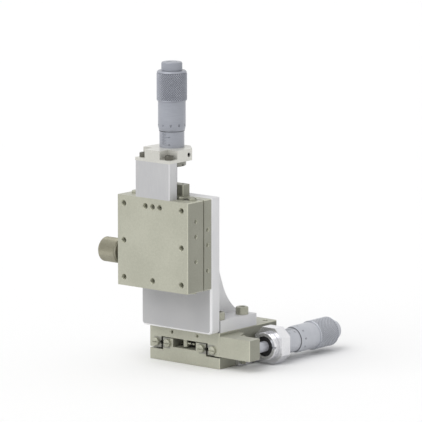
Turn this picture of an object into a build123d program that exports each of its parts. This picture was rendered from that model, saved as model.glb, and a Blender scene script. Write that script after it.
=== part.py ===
from build123d import *
import os

# Two-axis linear translation stage, in millimetres, +Z up.
# Two crossed-roller stages of one pattern, 60 mm square and 24 mm high. The lower one travels along Y.
# An angle bracket on its table carries the upper one upright, and that one travels along Z.
# The origin is the centre of the lower base's underside.
#
# A stage is drawn from its seat, the plane of its base's underside: x across the travel, y along it, z up
# through the stage. Heights in a stage are heights over the seat. The lower stage's y runs towards -Y.
# A micrometer is drawn along its axis, from the tip of its spindle at rest.

# --- one stage ---
stage = 60.0  # side of the square
plate_t = 7.2  # base plate under the rails
leg_gap = 1.0  # base plate to the table's legs
rail_step = 1.3  # from the plate up to the rails
channel_w = 19.6  # channel in the base, where the return spring lies
channel_step = 1.4  # from the rails' underside up to the channel's floor
ridge_t = 2.55
ridge_drop = 0.1  # ridges below the rails' tops
rail_w = 6.0
rail_h = 7.0
rail_gap = 1.5  # between an inner rail and the outer rail that faces it
table_gap = 0.5  # rails' tops to the underside of the table between them
table_t = 8.0
edge = 0.5  # chamfer on the long edges

# --- crossed rollers ---
roller_d = 3.0
roller_short = 0.14  # a roller's length is this much under its diameter
roller_pitch = 5.0
rollers_per_cage = 7
cage_t = 0.7
cage_h = 5.6
cage_end = 3.0  # cage beyond its last rollers' centres
groove_gap = 0.05  # rollers to the grooves' flanks
window_gap = 0.12

# --- holes in a stage ---
tap_edge, base_edge = 5.5, 6.0  # side of the stage to the rows of M5 holes in the table and in the base
tap_m5, tap_m3, thread_gap = 4.2, 2.5, 0.05
tap_depth = 6.8
small_tap, small_tap_x = 4.2, 6.0  # pair beside the grid's middle hole at one end
end_tap_x, far_tap_x = 10.8, 10.0  # pairs in the table's two ends
end_tap_drop, end_tap_depth = 4.2, 9.0  # drop from the table's face
side_tap = 3.0
table_side_drop, table_side_y, table_side_depth = 8.4, (17.0, 7.0, -9.5), 3.4
base_side_y, base_side_depth = (10.0, 0.0, -17.0), 6.0

# --- screws ---
m5_head_d, m5_head_h, m5_key, m5_shank, m5_clear = 8.5, 5.0, 4.0, 5.0, 5.5
m3_head_d, m3_head_h, m3_key, m3_shank, m3_clear = 5.5, 3.0, 2.5, 3.0, 3.4
socket_share = 0.55  # of a head's height
stop_head_d, stop_head_h, stop_slot = 5.4, 2.0, 0.8
inner_stop_in, outer_stop_in = 2.05, 1.65  # from the rails' backs
stop_bite = 5.0
rail_screw_d, rail_head_d, rail_head_h, rail_bite = 2.0, 3.8, 1.2, 2.4
inner_screw_y = (-20.0, 0.0, 20.0)
outer_screw_wall, outer_screw_y = 0.3, (-14.0, 14.0)  # rail left behind the screws' heads
hole_spare = 0.8  # hole beyond a screw's end
set_screw_d, set_screw_key, set_screw_sink = 3.0, 1.5, 1.0

# --- return spring ---
peg_d, peg_x, peg_inset, peg_lift = 3.8, 2.0, 4.2, 0.7  # lift over the channel's floor
rod_d, rod_reach = 1.6, 7.6  # reach from the peg's axis to the rod's free end
spring_x, spring_lift, spring_d = -3.6, 3.1, 4.4
hook_wire, neck_wire, hook_gap, hook_neck = 0.7, 0.55, 0.3, 1.5
pin_d, pin_inset, pin_over = 2.4, 9.0, 1.6  # pin over the spring's axis
root_d, pin_root = 2.0, 2.5  # how the peg and the pin stand in the table and the base
root_web = 0.3  # left between the peg's root and the tapped hole beside it

# --- lock ---
knob_d, knob_l, knob_chamfer = 16.4, 15.0, 0.8
neck_d, neck_l, neck_gap = 8.0, 2.6, 0.4
stud_d, stud_fit = 4.0, 0.05
pad_t, pad_gap = 1.4, 0.2
lock_hole = 2  # which of the holes in the table's side takes it

# --- angle bracket ---
wall_out = 8.5  # wall's front beyond the lower stage
wall_t = 9.5
wall_fillet, wall_edge = 3.0, 1.2
foot_t, foot_end = 8.0, 8.4
rib_t, rib_x = 6.0, 12.0
rib_drop = 8.5  # ribs' tops below the wall's
rib_bend_out, rib_bend_up = 20.5, 19.7  # where a rib's straight edge runs into its curve, from wall and foot
rib_toe = 0.6  # foot left beyond the ribs
upper_z = 84.5  # middle of the upper stage
cbore_gap = 0.5  # radial
m5_bite = 6.0

# --- micrometer heads ---
spindle_d, spindle_fit, tip_chamfer = 7.0, 0.05, 0.5
stem_d = 13.4
sleeve_d, sleeve_fit = 16.3, 0.1
thimble_d, plain_l = 18.1, 17.0
bevel_d, bevel_l = 16.8, 2.8
grip_d, grip_l, grip_chamfer = 20.0, 19.7, 0.8
hub_l, journal_d = 6.6, 5.0
cap_d, cap_l, cap_gap, cap_chamfer = 13.7, 5.5, 0.1, 0.5
cap_screw_d, cap_screw_root, cap_screw_bite = 3.0, 2.4, 4.0
cap_screw_head, cap_screw_h, cap_recess_d, cap_recess = 5.6, 1.4, 6.4, 1.6
bush_l = 22.0  # length of the sleeve that the spindle runs in
feed_nut_l, feed_nut_d = 10.0, 10.0
nut_d, nut_t, nut_chamfer = 18.6, 4.3, 0.5
nut_slot, nut_slot_depth = 1.5, 1.4
stem_recess = 0.6
travel = 6.5  # either way from the middle
sleeve_spare = 1.4  # inside the thimble, at the end of its travel

# --- lower micrometer: its holder on the base, its anvil on the table ---
axis_out = 13.0  # micrometer's axis beyond the stage's side
lower_sleeve_l = 15.7  # bare sleeve at rest
holder_front, holder_back = 4.8, 13.8
holder_half, holder_reach, holder_cut, holder_lift = 12.0, 11.3, 6.0, 0.3
flange_front, flange_t = -14.0, 3.0
flange_head_h = 2.0
anvil_t, anvil_out, anvil_drop = 11.0, 25.4, 2.0  # out beyond the stage's side, and below its top
anvil_flat = 4.2  # face that the spindle meets, inwards from the axis
lug_t, lug_l = 4.5, 9.0
anvil_screw_in, anvil_screw_up, anvil_screw_down, anvil_bite = 3.6, 3.2, 3.4, 3.2  # from the lug's edges
anvil_edge, anvil_spare = 0.4, 0.5

# --- upper micrometer: its riser and holder on the table, its anvil on the base ---
mount_edge = 3.7  # riser and holder beyond the long screws' axes
riser_h, riser_gap = 24.0, 0.3  # gap to the rails' plane, which the riser passes as it moves
upper_sleeve_l = 10.8
block_t, ear_t = 7.9, 2.1
upper_axis_in, block_back, block_cut = 4.0, 11.2, 8.0  # axis over the base, and the holder behind the axis
notch_in, notch_back = 4.4, 4.1  # low corners round the long screws
upper_anvil_h, upper_anvil_screw_x, upper_anvil_edge, upper_anvil_gap = 8.0, 8.2, 3.8, 0.1
riser_bite = 8.0

# --- worked out from the above ---
half = stage / 2
leg_bottom = plate_t + leg_gap
rail_seat = plate_t + rail_step  # underside of the rails
channel_floor = rail_seat + channel_step
inner_back = channel_w / 2 + ridge_t
inner_face = inner_back + rail_w
outer_face = inner_face + rail_gap
outer_back = outer_face + rail_w
rail_top = rail_seat + rail_h
rail_mid = rail_seat + rail_h / 2
ridge_top = rail_top - ridge_drop
table_under = rail_top + table_gap
stage_h = table_under + table_t
roller_x = inner_face + rail_gap / 2
roller_l = roller_d - roller_short
flank = roller_d / 2**0.5 + groove_gap * 2**0.5  # from the rollers' line to a groove's corner
cage_l = (rollers_per_cage - 1) * roller_pitch + 2 * cage_end
roller_y = [roller_pitch * (i - (rollers_per_cage - 1) / 2) for i in range(rollers_per_cage)]
tap_pitch = half - tap_edge
base_pitch = half - base_edge
end_tap_z = stage_h - end_tap_drop
table_side_z = stage_h - table_side_drop
base_side_z = plate_t / 2
inner_stop_x = inner_back + inner_stop_in
outer_stop_x = outer_back - outer_stop_in
outer_screw_x = outer_back - outer_screw_wall - thread_gap - rail_head_d / 2
peg_bottom = channel_floor + peg_lift
spring_z = channel_floor + spring_lift
pin_top = spring_z + pin_over
peg_root = table_t - tap_depth - root_web
peg_y = half - peg_inset
pin_y = pin_inset - half
lock_y = table_side_y[lock_hole]
thimble_l = bevel_l + plain_l + grip_l
thimble_inner = thimble_l - hub_l
wall_front = -half - wall_out
wall_back = wall_front + wall_t
foot_top = stage_h + foot_t
table_face = wall_front - stage_h
table_end = upper_z + half  # upper end of the upper stage
wall_top = table_end
rib_top_z = wall_top - rib_drop
rib_bend = (wall_back + rib_bend_out, foot_top + rib_bend_up)
end_tap_y = wall_front - end_tap_z
window_h = 2 * (flank - groove_gap) + 2 * window_gap
stop_hole = stop_bite + hole_spare
rod_hook_r = rod_d / 2 + hook_gap
pin_hook_r = pin_d / 2 + hook_gap
coil_start = pin_y + pin_hook_r + hook_wire / 2 + hook_neck
coil_end = peg_y - rod_hook_r - hook_wire / 2 - hook_neck
m5 = (m5_head_d, m5_head_h, m5_key, m5_shank, tap_m5 - 2 * thread_gap)
m3 = (m3_head_d, m3_head_h, m3_key, m3_shank, tap_m3 - 2 * thread_gap)
m3_low = (m3_head_d, flange_head_h, m3_key, m3_shank, side_tap - 2 * thread_gap)
rail_root = rail_screw_d - 2 * thread_gap
stop_screw = (stop_head_d, stop_head_h, tap_m3 - 2 * thread_gap, stop_bite)
inner_rail_screw = (rail_head_d, rail_head_h, rail_root, ridge_t + rail_bite)
outer_rail_screw = (rail_head_d, rail_head_h, rail_root, rail_h - rail_head_h + rail_bite)

lower_axis_x = half + axis_out
lower_axis_z = holder_half + holder_lift
lower_thimble_y = holder_back + lower_sleeve_l
anvil_front = -half
lower_tip_y = anvil_front + anvil_t
anvil_x = half + anvil_out
anvil_flat_x = lower_axis_x - anvil_flat
anvil_low = leg_bottom
anvil_high = stage_h - anvil_drop
lug_x = half + lug_t
lug_back = lower_tip_y + lug_l
anvil_screw_y = lug_back - anvil_screw_in
anvil_screw_z = (anvil_low + anvil_screw_up, anvil_high - anvil_screw_down)

mount_half = end_tap_x + mount_edge
riser_t = table_gap + table_t - riser_gap
block_low = table_end + riser_h
block_top = block_low + block_t
ear_top = block_low + ear_t
notch_x = end_tap_x - notch_in
notch_d = end_tap_drop + notch_back
upper_axis_y = wall_front - upper_axis_in
upper_tip_z = table_end + upper_anvil_h
upper_thimble_z = block_top + upper_sleeve_l
upper_anvil_half = upper_anvil_screw_x + upper_anvil_edge
upper_anvil_depth = plate_t - upper_anvil_gap

lower_seat = Plane((0, 0, 0), x_dir=(-1, 0, 0), z_dir=(0, 0, 1))
upper_seat = Plane((0, wall_front, upper_z), x_dir=(1, 0, 0), z_dir=(0, -1, 0))
lower_axis = Plane((lower_axis_x, lower_tip_y, lower_axis_z), x_dir=(1, 0, 0), z_dir=(0, 1, 0))
upper_axis = Plane((0, upper_axis_y, upper_tip_z), x_dir=(1, 0, 0), z_dir=(0, 0, 1))
wall_back_plane = Plane((0, wall_back, upper_z), x_dir=(-1, 0, 0), z_dir=(0, 1, 0))
flange_plane = Plane((half + flange_t, 0, 0), x_dir=(0, 1, 0), z_dir=(1, 0, 0))
anvil_plane = Plane((lug_x, 0, 0), x_dir=(0, 1, 0), z_dir=(1, 0, 0))
holder_middle = (holder_front + holder_back) / 2
lower_set_plane = Plane((lower_axis_x, holder_middle, lower_axis_z - holder_half), z_dir=(0, 0, -1))
upper_set_plane = Plane((mount_half, upper_axis_y, (block_low + block_top) / 2), z_dir=(1, 0, 0))


def both_sides(points):
    """Points and their mirror images about x = 0."""
    return [(side * x, y) for side in (1, -1) for x, y in points]


corners = both_sides([(tap_pitch, tap_pitch), (tap_pitch, -tap_pitch)])
base_corners = both_sides([(base_pitch, base_pitch), (base_pitch, -base_pitch)])
outer_screws = both_sides([(outer_screw_x, y) for y in outer_screw_y])
foot_points = both_sides([(tap_pitch, -tap_pitch), (tap_pitch, 0)])
flange_points = [(-y, base_side_z) for y in base_side_y[:2]]
anvil_points = [(anvil_screw_y, z) for z in anvil_screw_z]
riser_points = both_sides([(end_tap_x, end_tap_y)])
upper_anvil_points = both_sides([(upper_anvil_screw_x, wall_front - base_side_z)])

os.makedirs("parts", exist_ok=True)


def save(piece, name):
    piece.part.label = name
    export_step(piece.part, f"parts/{name}.step")


def facing_end(seat, y, way=1):
    """Across the travel, facing the stage's +y or -y. Its y is the height, its x runs against way."""
    return Plane(seat.from_local_coords((0, y, 0)), x_dir=seat.x_dir * -way, z_dir=seat.y_dir * way)


def facing_side(seat, x, way=1):
    """Along the travel, facing the stage's +x or -x. Its y is the height, its x runs with way."""
    return Plane(seat.from_local_coords((x, 0, 0)), x_dir=seat.y_dir * way, z_dir=seat.x_dir * way)


def facing_down(seat, z):
    """Parallel to the seat and facing down. Its x runs against the stage's."""
    return Plane(seat.from_local_coords((0, 0, z)), x_dir=-seat.x_dir, z_dir=-seat.z_dir)


def through_axis(axis):
    """Through a turned piece's axis: its x is the radius, and its y runs along the axis."""
    return Plane(axis.origin, x_dir=axis.x_dir, z_dir=-axis.y_dir)


def drill(face, points, diameter, depth):
    """Blind holes from a plane that faces out of the piece."""
    with BuildSketch(face) as holes:
        with Locations(*points):
            Circle(diameter / 2)
    extrude(holes.sketch, amount=-depth, mode=Mode.SUBTRACT)


def pillars(face, points, diameter, start, end):
    """Round bars square to a plane, from one height over it to another."""
    with BuildSketch(face.offset(start)) as bars:
        with Locations(*points):
            Circle(diameter / 2)
    extrude(bars.sketch, amount=end - start)


def sockets(face, points, across, depth):
    """Hexagon sockets for a key."""
    with BuildSketch(face) as hexagons:
        with Locations(*points):
            RegularPolygon(across / 2, 6, major_radius=False)
    extrude(hexagons.sketch, amount=-depth, mode=Mode.SUBTRACT)


def cap_screws(face, points, screw, shank_l, bite):
    """Socket head screws whose heads stand on a plane. The end of each is cut down to its thread's root."""
    head_d, head_h, key, shank_d, root = screw
    with BuildPart() as screws:
        pillars(face, points, head_d, 0, head_h)
        pillars(face, points, shank_d, -shank_l, 0)
        pillars(face, points, root, -shank_l - bite, -shank_l)
        sockets(face.offset(head_h), points, key, head_h * socket_share)
    return screws


def slotted_screws(face, points, screw):
    """Screws with a flat head and a driver's slot, sunk to their heads in a plane."""
    head_d, head_h, root, length = screw
    pillars(face, points, head_d, 0, head_h)
    pillars(face, points, root, -length, 0)
    with BuildSketch(face.offset(head_h)) as slots:
        with Locations(*points):
            Rectangle(head_d, stop_slot)
    extrude(slots.sketch, amount=-head_h * socket_share, mode=Mode.SUBTRACT)


def set_screw(face, point, length, sink):
    """Headless screw under a plane, with its socket outwards."""
    with BuildPart() as screw:
        pillars(face, [point], set_screw_d - 2 * thread_gap, -sink - length, -sink)
        sockets(face.offset(-sink), [point], set_screw_key, length / 3)
    return screw


def corner_edges(piece, seat):
    """The upright edges at a stage's corners, which lie furthest from its middle."""
    upright = piece.edges().filter_by(Axis(seat.origin, seat.z_dir))
    return upright.group_by(lambda e: round((e.center() - seat.origin).cross(seat.z_dir).length, 1))[-1]


# --- pieces of a stage ---


def stage_base(seat, end_taps=()):
    """Base plate, with two ridges that the inner rails lie against and a channel for the spring."""
    with BuildPart() as base:
        with BuildSketch(facing_end(seat, half)):
            with BuildLine():
                Polyline(
                    (0, 0),
                    (half, 0),
                    (half, plate_t),
                    (inner_face, plate_t),
                    (inner_face, rail_seat),
                    (inner_back, rail_seat),
                    (inner_back, ridge_top),
                    (channel_w / 2, ridge_top),
                    (channel_w / 2, channel_floor),
                    (0, channel_floor),
                    close=True,
                )
            make_face()
            mirror(about=Plane.YZ)
        extrude(amount=-stage)
        chamfer(corner_edges(base, seat), edge)
        drill(seat.offset(plate_t), base_corners, tap_m5, plate_t)
        drill(seat.offset(channel_floor), [(spring_x, pin_y)], root_d, pin_root)
        for way in (1, -1):
            points = [(way * y, base_side_z) for y in base_side_y]
            drill(facing_side(seat, way * half, way), points, side_tap, base_side_depth)
            points = [(way * y, rail_mid) for y in inner_screw_y]
            drill(facing_side(seat, -way * channel_w / 2, way), points, rail_screw_d, ridge_t)
        if end_taps:
            drill(facing_end(seat, half), end_taps, tap_m3, end_tap_depth)
    return base


def stage_table(seat, lock_way, anvil_taps=()):
    """Table: a plate with a leg down each side, and a seat for an outer rail inside each leg. An anvil can be
    screwed to the side away from the lock."""
    with BuildPart() as table:
        with BuildSketch(facing_end(seat, half)):
            with BuildLine():
                Polyline(
                    (0, table_under),
                    (outer_face, table_under),
                    (outer_face, rail_top),
                    (outer_back, rail_top),
                    (outer_back, leg_bottom),
                    (half, leg_bottom),
                    (half, stage_h - edge),
                    (half - edge, stage_h),
                    (0, stage_h),
                    close=True,
                )
            make_face()
            mirror(about=Plane.YZ)
        extrude(amount=-stage)
        chamfer(corner_edges(table, seat), edge)
        middles = [(0, tap_pitch), (0, -tap_pitch), (tap_pitch, 0), (-tap_pitch, 0)]
        drill(seat.offset(stage_h), corners + middles, tap_m5, tap_depth)
        drill(seat.offset(stage_h), both_sides([(small_tap_x, tap_pitch)]), small_tap, tap_depth)
        drill(facing_down(seat, table_under), [(-peg_x, peg_y)], root_d, peg_root)
        drill(facing_down(seat, rail_top), outer_screws, rail_screw_d, rail_bite + hole_spare)
        for way, tap_x in ((1, end_tap_x), (-1, far_tap_x)):
            face = facing_end(seat, way * half, way)
            drill(face, both_sides([(tap_x, end_tap_z)]), tap_m3, end_tap_depth)
            face = facing_side(seat, way * half, way)
            drill(face, [(way * y, table_side_z) for y in table_side_y], side_tap, table_side_depth)
        face = facing_side(seat, lock_way * half, lock_way)
        drill(face, [(lock_way * lock_y, table_side_z)], stud_d + 2 * stud_fit, half - outer_back)
        if anvil_taps:
            face = facing_side(seat, -lock_way * half, -lock_way)
            drill(face, anvil_taps, tap_m3, anvil_bite + anvil_spare)
    return table


def rail_bars(seat, back_x, way):
    """A pair of bars, each with a V groove for the rollers. way is 1 where the groove faces outwards."""
    with BuildSketch(facing_end(seat, half)) as profile:
        with Locations((back_x + way * rail_w / 2, rail_mid)):
            Rectangle(rail_w, rail_h)
        with Locations((roller_x, rail_mid)):
            Rectangle(2**0.5 * flank, 2**0.5 * flank, rotation=45, mode=Mode.SUBTRACT)
        mirror(about=Plane.YZ)
    extrude(profile.sketch, amount=-stage)


def inner_rails(seat):
    with BuildPart() as pair:
        rail_bars(seat, inner_back, 1)
        for way in (1, -1):
            points = [(way * y, rail_mid) for y in inner_screw_y]
            drill(facing_side(seat, -way * inner_back, way), points, rail_screw_d, rail_bite + hole_spare)
            face = facing_end(seat, way * half, way)
            drill(face, both_sides([(inner_stop_x, rail_mid)]), tap_m3, stop_hole)
    return pair


def outer_rails(seat):
    with BuildPart() as pair:
        rail_bars(seat, outer_back, -1)
        drill(facing_down(seat, rail_seat), outer_screws, rail_screw_d, rail_h)
        drill(facing_down(seat, rail_seat), outer_screws, rail_head_d + 2 * thread_gap, rail_head_h)
        for way in (1, -1):
            face = facing_end(seat, way * half, way)
            drill(face, both_sides([(outer_stop_x, rail_mid)]), tap_m3, stop_hole)
    return pair


def stop_screws(seat, x):
    """Screws in the ends of the rails, whose heads keep the cages in."""
    with BuildPart() as screws:
        for way in (1, -1):
            slotted_screws(facing_end(seat, way * half, way), both_sides([(x, rail_mid)]), stop_screw)
    return screws


def inner_rail_screws(seat):
    """Screws from the channel, through the ridges and into the inner rails."""
    with BuildPart() as screws:
        for way in (1, -1):
            points = [(way * y, rail_mid) for y in inner_screw_y]
            slotted_screws(facing_side(seat, -way * channel_w / 2, way), points, inner_rail_screw)
    return screws


def outer_rail_screws(seat):
    """Screws sunk in the outer rails from below, into the table."""
    with BuildPart() as screws:
        slotted_screws(facing_down(seat, rail_seat + rail_head_h), outer_screws, outer_rail_screw)
    return screws


def cages(seat):
    """A strip between each pair of rails, with a window for each roller."""
    with BuildPart() as strips:
        for side in (1, -1):
            with BuildSketch(facing_side(seat, side * roller_x).offset(-cage_t / 2)):
                with Locations((0, rail_mid)):
                    RectangleRounded(cage_l, cage_h, cage_h / 6)
                with Locations(*[(y, rail_mid) for y in roller_y]):
                    Rectangle(roller_d + 2 * window_gap, window_h, mode=Mode.SUBTRACT)
            extrude(amount=cage_t)
    return strips


def rollers(seat):
    """Cylinders across the gap, each square to the next."""
    with BuildPart() as crossed:
        for side in (1, -1):
            for i, y in enumerate(roller_y):
                lean = seat.z_dir if i % 2 else -seat.z_dir
                middle = seat.from_local_coords((side * roller_x, y, rail_mid))
                with BuildSketch(Plane(middle, z_dir=seat.x_dir + lean).offset(-roller_l / 2)):
                    Circle(roller_d / 2)
                extrude(amount=roller_l)
    return crossed


def spring_peg(seat):
    """Peg that hangs from the table, with a cross rod for the spring's hook."""
    with BuildPart() as peg:
        pillars(seat, [(peg_x, peg_y)], peg_d, peg_bottom, table_under)
        pillars(seat, [(peg_x, peg_y)], root_d - 2 * thread_gap, table_under, table_under + peg_root)
        pillars(facing_side(seat, peg_x), [(peg_y, spring_z)], rod_d, -rod_reach, 0)
    return peg


def spring_pin(seat):
    """Pin in the floor of the channel, for the spring's other hook."""
    with BuildPart() as pin:
        pillars(seat, [(spring_x, pin_y)], pin_d, channel_floor, pin_top)
        pillars(seat, [(spring_x, pin_y)], root_d - 2 * thread_gap, channel_floor - pin_root, channel_floor)
    return pin


def return_spring(seat):
    """Extension spring as its outer shape: a round bar, a straight neck at each end, and a hook on each."""
    across = facing_side(seat, spring_x)
    above = seat.offset(spring_z)
    with BuildPart() as spring:
        for plane, middle, ring in (
            (across, (peg_y, spring_z), rod_hook_r),
            (above, (spring_x, pin_y), pin_hook_r),
        ):
            with BuildSketch(plane.offset(-hook_wire / 2)) as hook:
                with Locations(middle):
                    Circle(ring + hook_wire)
                    Circle(ring, mode=Mode.SUBTRACT)
            extrude(amount=hook_wire)
        along = facing_end(seat, 0)
        pillars(along, [(-spring_x, spring_z)], neck_wire, coil_start - hook_neck - hook_wire / 2, coil_start)
        pillars(along, [(-spring_x, spring_z)], spring_d, coil_start, coil_end)
        pillars(along, [(-spring_x, spring_z)], neck_wire, coil_end, coil_end + hook_neck + hook_wire / 2)
    return spring


def lock_knob(seat, way):
    """Knob with a neck and a stud that screws through the table's leg."""
    face = facing_side(seat, way * half, way)
    point = [(way * lock_y, table_side_z)]
    knob_start = neck_gap + neck_l
    with BuildPart() as knob:
        pillars(face, point, knob_d, knob_start, knob_start + knob_l)
        rims = knob.edges().filter_by(GeomType.CIRCLE)
        chamfer(rims, knob_chamfer)
        pillars(face, point, neck_d, neck_gap, knob_start)
        pillars(face, point, stud_d, outer_back + pad_t + pad_gap - half, neck_gap)
    return knob


def lock_pad(seat, way):
    """Brass pad between the stud's end and the back of the outer rail."""
    with BuildPart() as pad:
        pillars(facing_side(seat, way * outer_back, way), [(way * lock_y, table_side_z)], stud_d, 0, pad_t)
    return pad


# --- pieces of a micrometer head ---


def turned(axis, outline):
    """A piece turned to an outline of (radius, distance along the axis)."""
    with BuildPart() as piece:
        with BuildSketch(through_axis(axis)):
            with BuildLine():
                Polyline(*outline, close=True)
            make_face()
        revolve(axis=Axis(axis.origin, axis.z_dir))
    return piece


def sleeve(axis, front, shoulder, edge_at):
    """Stem through the holder, the sleeve that carries the scale, and their bore."""
    end = edge_at + thimble_inner - travel - sleeve_spare
    bore, wide = spindle_d / 2 + spindle_fit, feed_nut_d / 2
    outline = [
        (bore, front),
        (stem_d / 2, front),
        (stem_d / 2, shoulder),
        (sleeve_d / 2, shoulder),
        (sleeve_d / 2, end),
        (wide, end),
        (wide, front + bush_l),
        (bore, front + bush_l),
    ]
    return turned(axis, outline)


def feed_nut(axis, edge_at):
    """Threaded nut inside the back of the sleeve."""
    end = edge_at + thimble_inner - travel - sleeve_spare
    bore, outside = spindle_d / 2 + spindle_fit, feed_nut_d / 2 - thread_gap / 2
    return turned(axis, [(bore, end - feed_nut_l), (outside, end - feed_nut_l), (outside, end), (bore, end)])


def ring_nut(axis, front):
    """Nut that draws the sleeve into its holder, with two slots for a spanner."""
    bore, rim = stem_d / 2 + thread_gap, nut_d / 2
    back = front + nut_t
    with BuildPart() as nut:
        with BuildSketch(through_axis(axis)):
            with BuildLine():
                Polyline(
                    (bore, front),
                    (rim - nut_chamfer, front),
                    (rim, front + nut_chamfer),
                    (rim, back - nut_chamfer),
                    (rim - nut_chamfer, back),
                    (bore, back),
                    close=True,
                )
            make_face()
        revolve(axis=Axis(axis.origin, axis.z_dir))
        with BuildSketch(axis.offset(front)):
            Rectangle(nut_d + 1, nut_slot)
        extrude(amount=nut_slot_depth, mode=Mode.SUBTRACT)
    return nut


def spindle(axis, edge_at):
    """Ground rod, with a journal at the back that the thimble turns on."""
    shoulder = edge_at + thimble_inner - cap_gap
    end = edge_at + thimble_l
    outline = [
        (0, 0),
        (spindle_d / 2 - tip_chamfer, 0),
        (spindle_d / 2, tip_chamfer),
        (spindle_d / 2, shoulder),
        (journal_d / 2, shoulder),
        (journal_d / 2, end),
        (cap_screw_root / 2 + thread_gap, end),
        (cap_screw_root / 2 + thread_gap, end - cap_screw_bite - hole_spare),
        (0, end - cap_screw_bite - hole_spare),
    ]
    return turned(axis, outline)


def thimble(axis, edge_at):
    """Hollow thimble: a bevel, a plain part, a grip, and a hub at the back."""
    grip_at = edge_at + bevel_l + plain_l
    end = edge_at + thimble_l
    inner = sleeve_d / 2 + sleeve_fit
    bore = journal_d / 2 + spindle_fit
    outline = [
        (inner, edge_at),
        (bevel_d / 2, edge_at),
        (thimble_d / 2, edge_at + bevel_l),
        (thimble_d / 2, grip_at),
        (grip_d / 2 - grip_chamfer / 2, grip_at),
        (grip_d / 2, grip_at + grip_chamfer),
        (grip_d / 2, end - grip_chamfer),
        (grip_d / 2 - grip_chamfer, end),
        (bore, end),
        (bore, end - hub_l),
        (inner, end - hub_l),
    ]
    return turned(axis, outline)


def ratchet_cap(axis, edge_at):
    """Cap of the ratchet, sunk at its end for a screw's head."""
    start = edge_at + thimble_l + cap_gap
    end = start + cap_l
    bore = cap_screw_d / 2 + sleeve_fit
    outline = [
        (bore, start),
        (cap_d / 2, start),
        (cap_d / 2, end - cap_chamfer),
        (cap_d / 2 - cap_chamfer, end),
        (cap_recess_d / 2, end),
        (cap_recess_d / 2, end - cap_recess),
        (bore, end - cap_recess),
    ]
    return turned(axis, outline)


def ratchet_screw(axis, edge_at):
    """Screw through the cap into the end of the spindle."""
    journal_end = edge_at + thimble_l
    head_at = journal_end + cap_gap + cap_l - cap_recess + cap_gap
    with BuildPart() as screw:
        pillars(axis, [(0, 0)], cap_screw_head, head_at, head_at + cap_screw_h)
        pillars(axis, [(0, 0)], cap_screw_d, journal_end, head_at)
        pillars(axis, [(0, 0)], cap_screw_root, journal_end - cap_screw_bite, journal_end)
        with BuildSketch(axis.offset(head_at + cap_screw_h)):
            Rectangle(cap_screw_head, stop_slot)
        extrude(amount=-cap_screw_h / 2, mode=Mode.SUBTRACT)
    return screw


# --- angle bracket ---


def bracket():
    """Upright wall for the upper stage, a foot on the lower table, and two curved ribs between them."""
    with BuildPart() as angle:
        with BuildSketch(Plane.XZ.offset(-wall_front)):
            with Locations((0, (stage_h + wall_top) / 2)):
                wall = Rectangle(stage, wall_top - stage_h)
            fillet(wall.vertices().group_by(Axis.Y)[0], wall_fillet)
        extrude(amount=-wall_t)
        sides = angle.faces().filter_by(Axis.X)
        chamfer(sides.edges().filter_by(Axis.Z), wall_edge)
        with BuildSketch(Plane.XY.offset(stage_h)):
            with Locations((0, (wall_back + foot_end) / 2)):
                Rectangle(stage, foot_end - wall_back)
        extrude(amount=foot_t)
        for x in (-rib_x, rib_x):
            with BuildSketch(Plane.YZ.offset(x - rib_t / 2)):
                with BuildLine():
                    straight = Line((wall_back, rib_top_z), rib_bend)
                    TangentArc(rib_bend, (foot_end - rib_toe, foot_top), tangent=straight % 1)
                    Polyline((foot_end - rib_toe, foot_top), (wall_back, foot_top), (wall_back, rib_top_z))
                make_face()
            extrude(amount=rib_t)
        drill(Plane.XY.offset(foot_top), foot_points, m5_clear, foot_t)
        drill(wall_back_plane, base_corners, m5_clear, wall_t)
        drill(wall_back_plane, base_corners, m5_head_d + 2 * cbore_gap, m5_head_h)
    return angle


# --- holders, riser and anvils ---


def lower_holder():
    """Eight-sided block round the stem, and a flange that is screwed to the side of the base."""
    middle_x, low, high = lower_axis_x, lower_axis_z - holder_half, lower_axis_z + holder_half
    left, right = middle_x - holder_reach, middle_x + holder_reach
    with BuildPart() as holder:
        with BuildSketch(Plane.XZ.offset(-holder_front)):
            with BuildLine():
                Polyline(
                    (half, low),
                    (right - holder_cut, low),
                    (right, low + holder_cut),
                    (right, high - holder_cut),
                    (right - holder_cut, high),
                    (left + holder_cut, high),
                    (left, high - holder_cut),
                    (left, plate_t),
                    (half, plate_t),
                    close=True,
                )
            make_face()
        extrude(amount=holder_front - holder_back)
        with BuildSketch(Plane.XY.offset(low)):
            with Locations((half + flange_t / 2, (flange_front + holder_back) / 2)):
                Rectangle(flange_t, holder_back - flange_front)
        extrude(amount=plate_t - low)
        drill(lower_axis.offset(holder_back - lower_tip_y), [(0, 0)], stem_d + 2 * thread_gap, stage)
        drill(flange_plane, flange_points, m3_clear, flange_t)
        drill(lower_set_plane, [(0, 0)], set_screw_d, holder_half)
    return holder


def lower_anvil():
    """Block on the table's side that the spindle pushes, with a lug that two screws hold."""
    with BuildPart() as anvil:
        with BuildSketch(Plane.XY.offset(anvil_low)):
            with BuildLine():
                Polyline(
                    (half, anvil_front),
                    (anvil_x, anvil_front),
                    (anvil_x, lower_tip_y),
                    (anvil_flat_x, lower_tip_y),
                    (lug_x, lug_back),
                    (half, lug_back),
                    close=True,
                )
            make_face()
        extrude(amount=anvil_high - anvil_low)
        outer = anvil.edges().filter_by(Axis.Z).sort_by(Axis.X)[-2:]
        chamfer(outer, anvil_edge)
        drill(anvil_plane.offset(anvil_x - lug_x), anvil_points, m3_clear, anvil_x - half)
        drill(anvil_plane.offset(anvil_x - lug_x), anvil_points, m3_head_d + 2 * cbore_gap, anvil_x - lug_x)
    return anvil


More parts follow.
